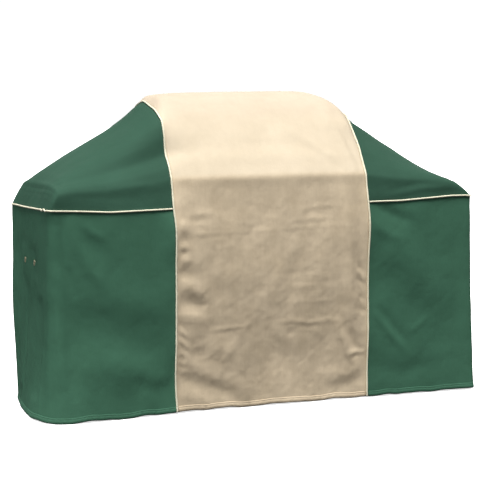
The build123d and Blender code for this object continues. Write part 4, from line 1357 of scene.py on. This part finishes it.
for side in (-1, 1):
    e = END[side]
    g = rounded_grid(side, 0.7599, 0.013, 0.508, 0.180, 0.050, 0.008, 0.0056)
    g = open_holes(g, side, EYELETS, 0.0068, reach=0.012)
    ob = cloth_object(f"{e}_eyelet_patch_cloth", g, (GREEN, GREEN_BACK), thickness=0.0013, holes=hole_list(side, EYELETS, 0.7599, 0.0056))
    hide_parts(f"{e}_eyelet_patch")
    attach(ob, "cover")
    for nm in (f"{e}_vent_eyelets", f"{e}_vent_washers"):
        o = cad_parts[nm]
        o.data.materials.clear()
        o.data.materials.append(BRASS)
    for row, y in (("front", -0.12), ("rear", 0.12)):
        s = f"{e}_{row}_strap"
        patch = ribbon(side, 0.7585, 0.7599, y, 0.323, 0.369, 0.045, 0.005, 0.005)
        tab = ribbon(side, 0.7570, 0.7585, y, 0.330, 0.360, 0.025)
        parts = [patch, tab]
        mi = [0, 1]
        for v, f in box_stitch(side, 0.7570, y, 0.345, 0.018, 0.022) + box_stitch(side, 0.7585, y, 0.346, 0.039, 0.040)[:4]:
            parts.append((v, f, v[:, 1:]))
            mi.append(2)
        vs, fs, us, idx, k = [], [], [], [], 0
        for i, (v, f, uv) in enumerate(parts):
            if i < 2:
                f = outward_faces(v, f)
            vs.append(v); us.append(uv)
            fs += [tuple(j + k for j in face) for face in f]
            idx += [mi[i]] * len(f)
            k += len(v)
        ob = mesh_object(f"{s}_anchor_patch", np.concatenate(vs), fs, np.concatenate(us), (GREEN, WEBBING, THREAD_GREEN), idx)
        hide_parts(f"{s}_anchor")
        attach(ob, "cover")

        ob = strap_piece(f"{s}_upper_web", [ribbon(side, 0.7567, 0.7582, y, 0.2049, 0.3295, 0.025, seed=3)], (WEBBING,), [f"{s}_upper"], s)
        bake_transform(ob)
        ob = strap_piece(f"{s}_lower_web", [ribbon(side, 0.7567, 0.7582, y, 0.088, 0.2047, 0.025, round_lo=0.006, seed=4)], (WEBBING,), [f"{s}_lower"], s + "_end")
        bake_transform(ob)
        ob = strap_piece(f"{s}_loop_pile", [ribbon(side, 0.7555, 0.7567, y, 0.219, 0.309, 0.022, 0.002, 0.002)], (LOOP,), [f"{s}_loop_tape"], s)
        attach(ob, s)
        ob = strap_piece(f"{s}_hook_pile", [ribbon(side, 0.7555, 0.7567, y, 0.096, 0.146, 0.022, 0.004, 0.004)], (HOOK,), [f"{s}_hook_tape"], s + "_end")
        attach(ob, s + "_end")


# ------------------------------------------------------------ sheets of cloth
def area_of(p):
    a = np.cross(p[1:, 1:] - p[:-1, :-1], p[1:, :-1] - p[:-1, 1:])
    return float(np.linalg.norm(a, axis=-1).sum() / 2)


for side in (-1, 1):
    e = END[side]
print("areas", round(area_of(P_CENTRE), 3), [round(area_of(P_TOP[s]), 3) for s in (-1, 1)], [round(area_of(P_SKIRT[s]), 3) for s in (-1, 1)])

# ------------------------------------------------------------------- the studio
floor = mesh_object("studio_floor", np.array([(-60, -60, -0.0008), (60, -60, -0.0008), (60, 60, -0.0008), (-60, 60, -0.0008)]), [(0, 1, 2, 3)])
fm, nt, bsdf = material("studio_floor")
bsdf.inputs["Base Color"].default_value = (0.93, 0.93, 0.93, 1)
bsdf.inputs["Roughness"].default_value = 1.0
bsdf.inputs["Specular IOR Level"].default_value = 0.0
bsdf.inputs["Emission Color"].default_value = (1, 1, 1, 1)
bsdf.inputs["Emission Strength"].default_value = 0.72
floor.data.materials.append(fm)
floor.visible_diffuse = False
floor.visible_glossy = False

world = bpy.data.worlds.new("studio")
bpy.context.scene.world = world
world.use_nodes = True
wn = world.node_tree
wn.nodes.clear()
wo = wn.nodes.new("ShaderNodeOutputWorld")
seen = wn.nodes.new("ShaderNodeBackground")
seen.inputs[0].default_value = (1, 1, 1, 1)
seen.inputs[1].default_value = 1.05
fill = wn.nodes.new("ShaderNodeBackground")
fill.inputs[0].default_value = (0.98, 0.99, 1.0, 1)
fill.inputs[1].default_value = 1.0
# more light from above than from below
where = wn.nodes.new("ShaderNodeTexCoord")
parts = wn.nodes.new("ShaderNodeSeparateXYZ")
level = wn.nodes.new("ShaderNodeMapRange")
level.inputs["From Min"].default_value = -0.35
level.inputs["From Max"].default_value = 0.35
level.inputs["To Min"].default_value = 0.07
level.inputs["To Max"].default_value = 0.33
wn.links.new(where.outputs["Generated"], parts.inputs[0])
wn.links.new(parts.outputs[2], level.inputs["Value"])
wn.links.new(level.outputs["Result"], fill.inputs[1])
pick = wn.nodes.new("ShaderNodeMixShader")
path = wn.nodes.new("ShaderNodeLightPath")
wn.links.new(path.outputs["Is Camera Ray"], pick.inputs[0])
wn.links.new(fill.outputs[0], pick.inputs[1])
wn.links.new(seen.outputs[0], pick.inputs[2])
wn.links.new(pick.outputs[0], wo.inputs["Surface"])


def sun(name, azimuth, elevation, strength, angle, colour=(1, 1, 1)):
    data = bpy.data.lights.new(name, "SUN")
    data.energy = strength
    data.angle = math.radians(angle)
    data.color = colour
    ob = bpy.data.objects.new(name, data)
    a, e = math.radians(azimuth), math.radians(elevation)
    back = Vector((math.sin(a) * math.cos(e), -math.cos(a) * math.cos(e), math.sin(e)))
    ob.rotation_mode = "QUATERNION"
    ob.rotation_quaternion = back.to_track_quat("Z", "Y")
    bpy.context.scene.collection.objects.link(ob)
    return ob


sun("key", -20, 70, 5.25, 24, (1.0, 0.99, 0.97))
sun("left_fill", -75, 14, 0.60, 40)
sun("rear_fill", 150, 12, 1.0, 60)

view = bpy.context.scene.view_settings
view.view_transform = "Standard"
view.look = "None"
view.exposure = 0
view.gamma = 1

# ------------------------------------------------------------------- the camera
yaw, pitch, roll, dist = -0.3680, 0.0929, -0.0120, 5.6706
target = Vector((0.0255, 0.0, 0.5111))
back = Vector((math.sin(yaw) * math.cos(pitch), -math.cos(yaw) * math.cos(pitch), math.sin(pitch)))
fwd = -back
right = fwd.cross(Vector((0, 0, 1))).normalized()
up = right.cross(fwd)
r2 = right * math.cos(roll) + up * math.sin(roll)
u2 = -right * math.sin(roll) + up * math.cos(roll)
cam = bpy.data.cameras.new("camera")
cam.sensor_width = 36.0
cam.lens = 1608.1 / 500 * 36
cam.clip_start, cam.clip_end = 0.1, 200
ob = bpy.data.objects.new("camera", cam)
bpy.context.scene.collection.objects.link(ob)
pos = target + back * dist
m = Matrix((
    (r2.x, u2.x, back.x, pos.x),
    (r2.y, u2.y, back.y, pos.y),
    (r2.z, u2.z, back.z, pos.z),
    (0, 0, 0, 1),
))
ob.matrix_world = m
bpy.context.scene.camera = ob
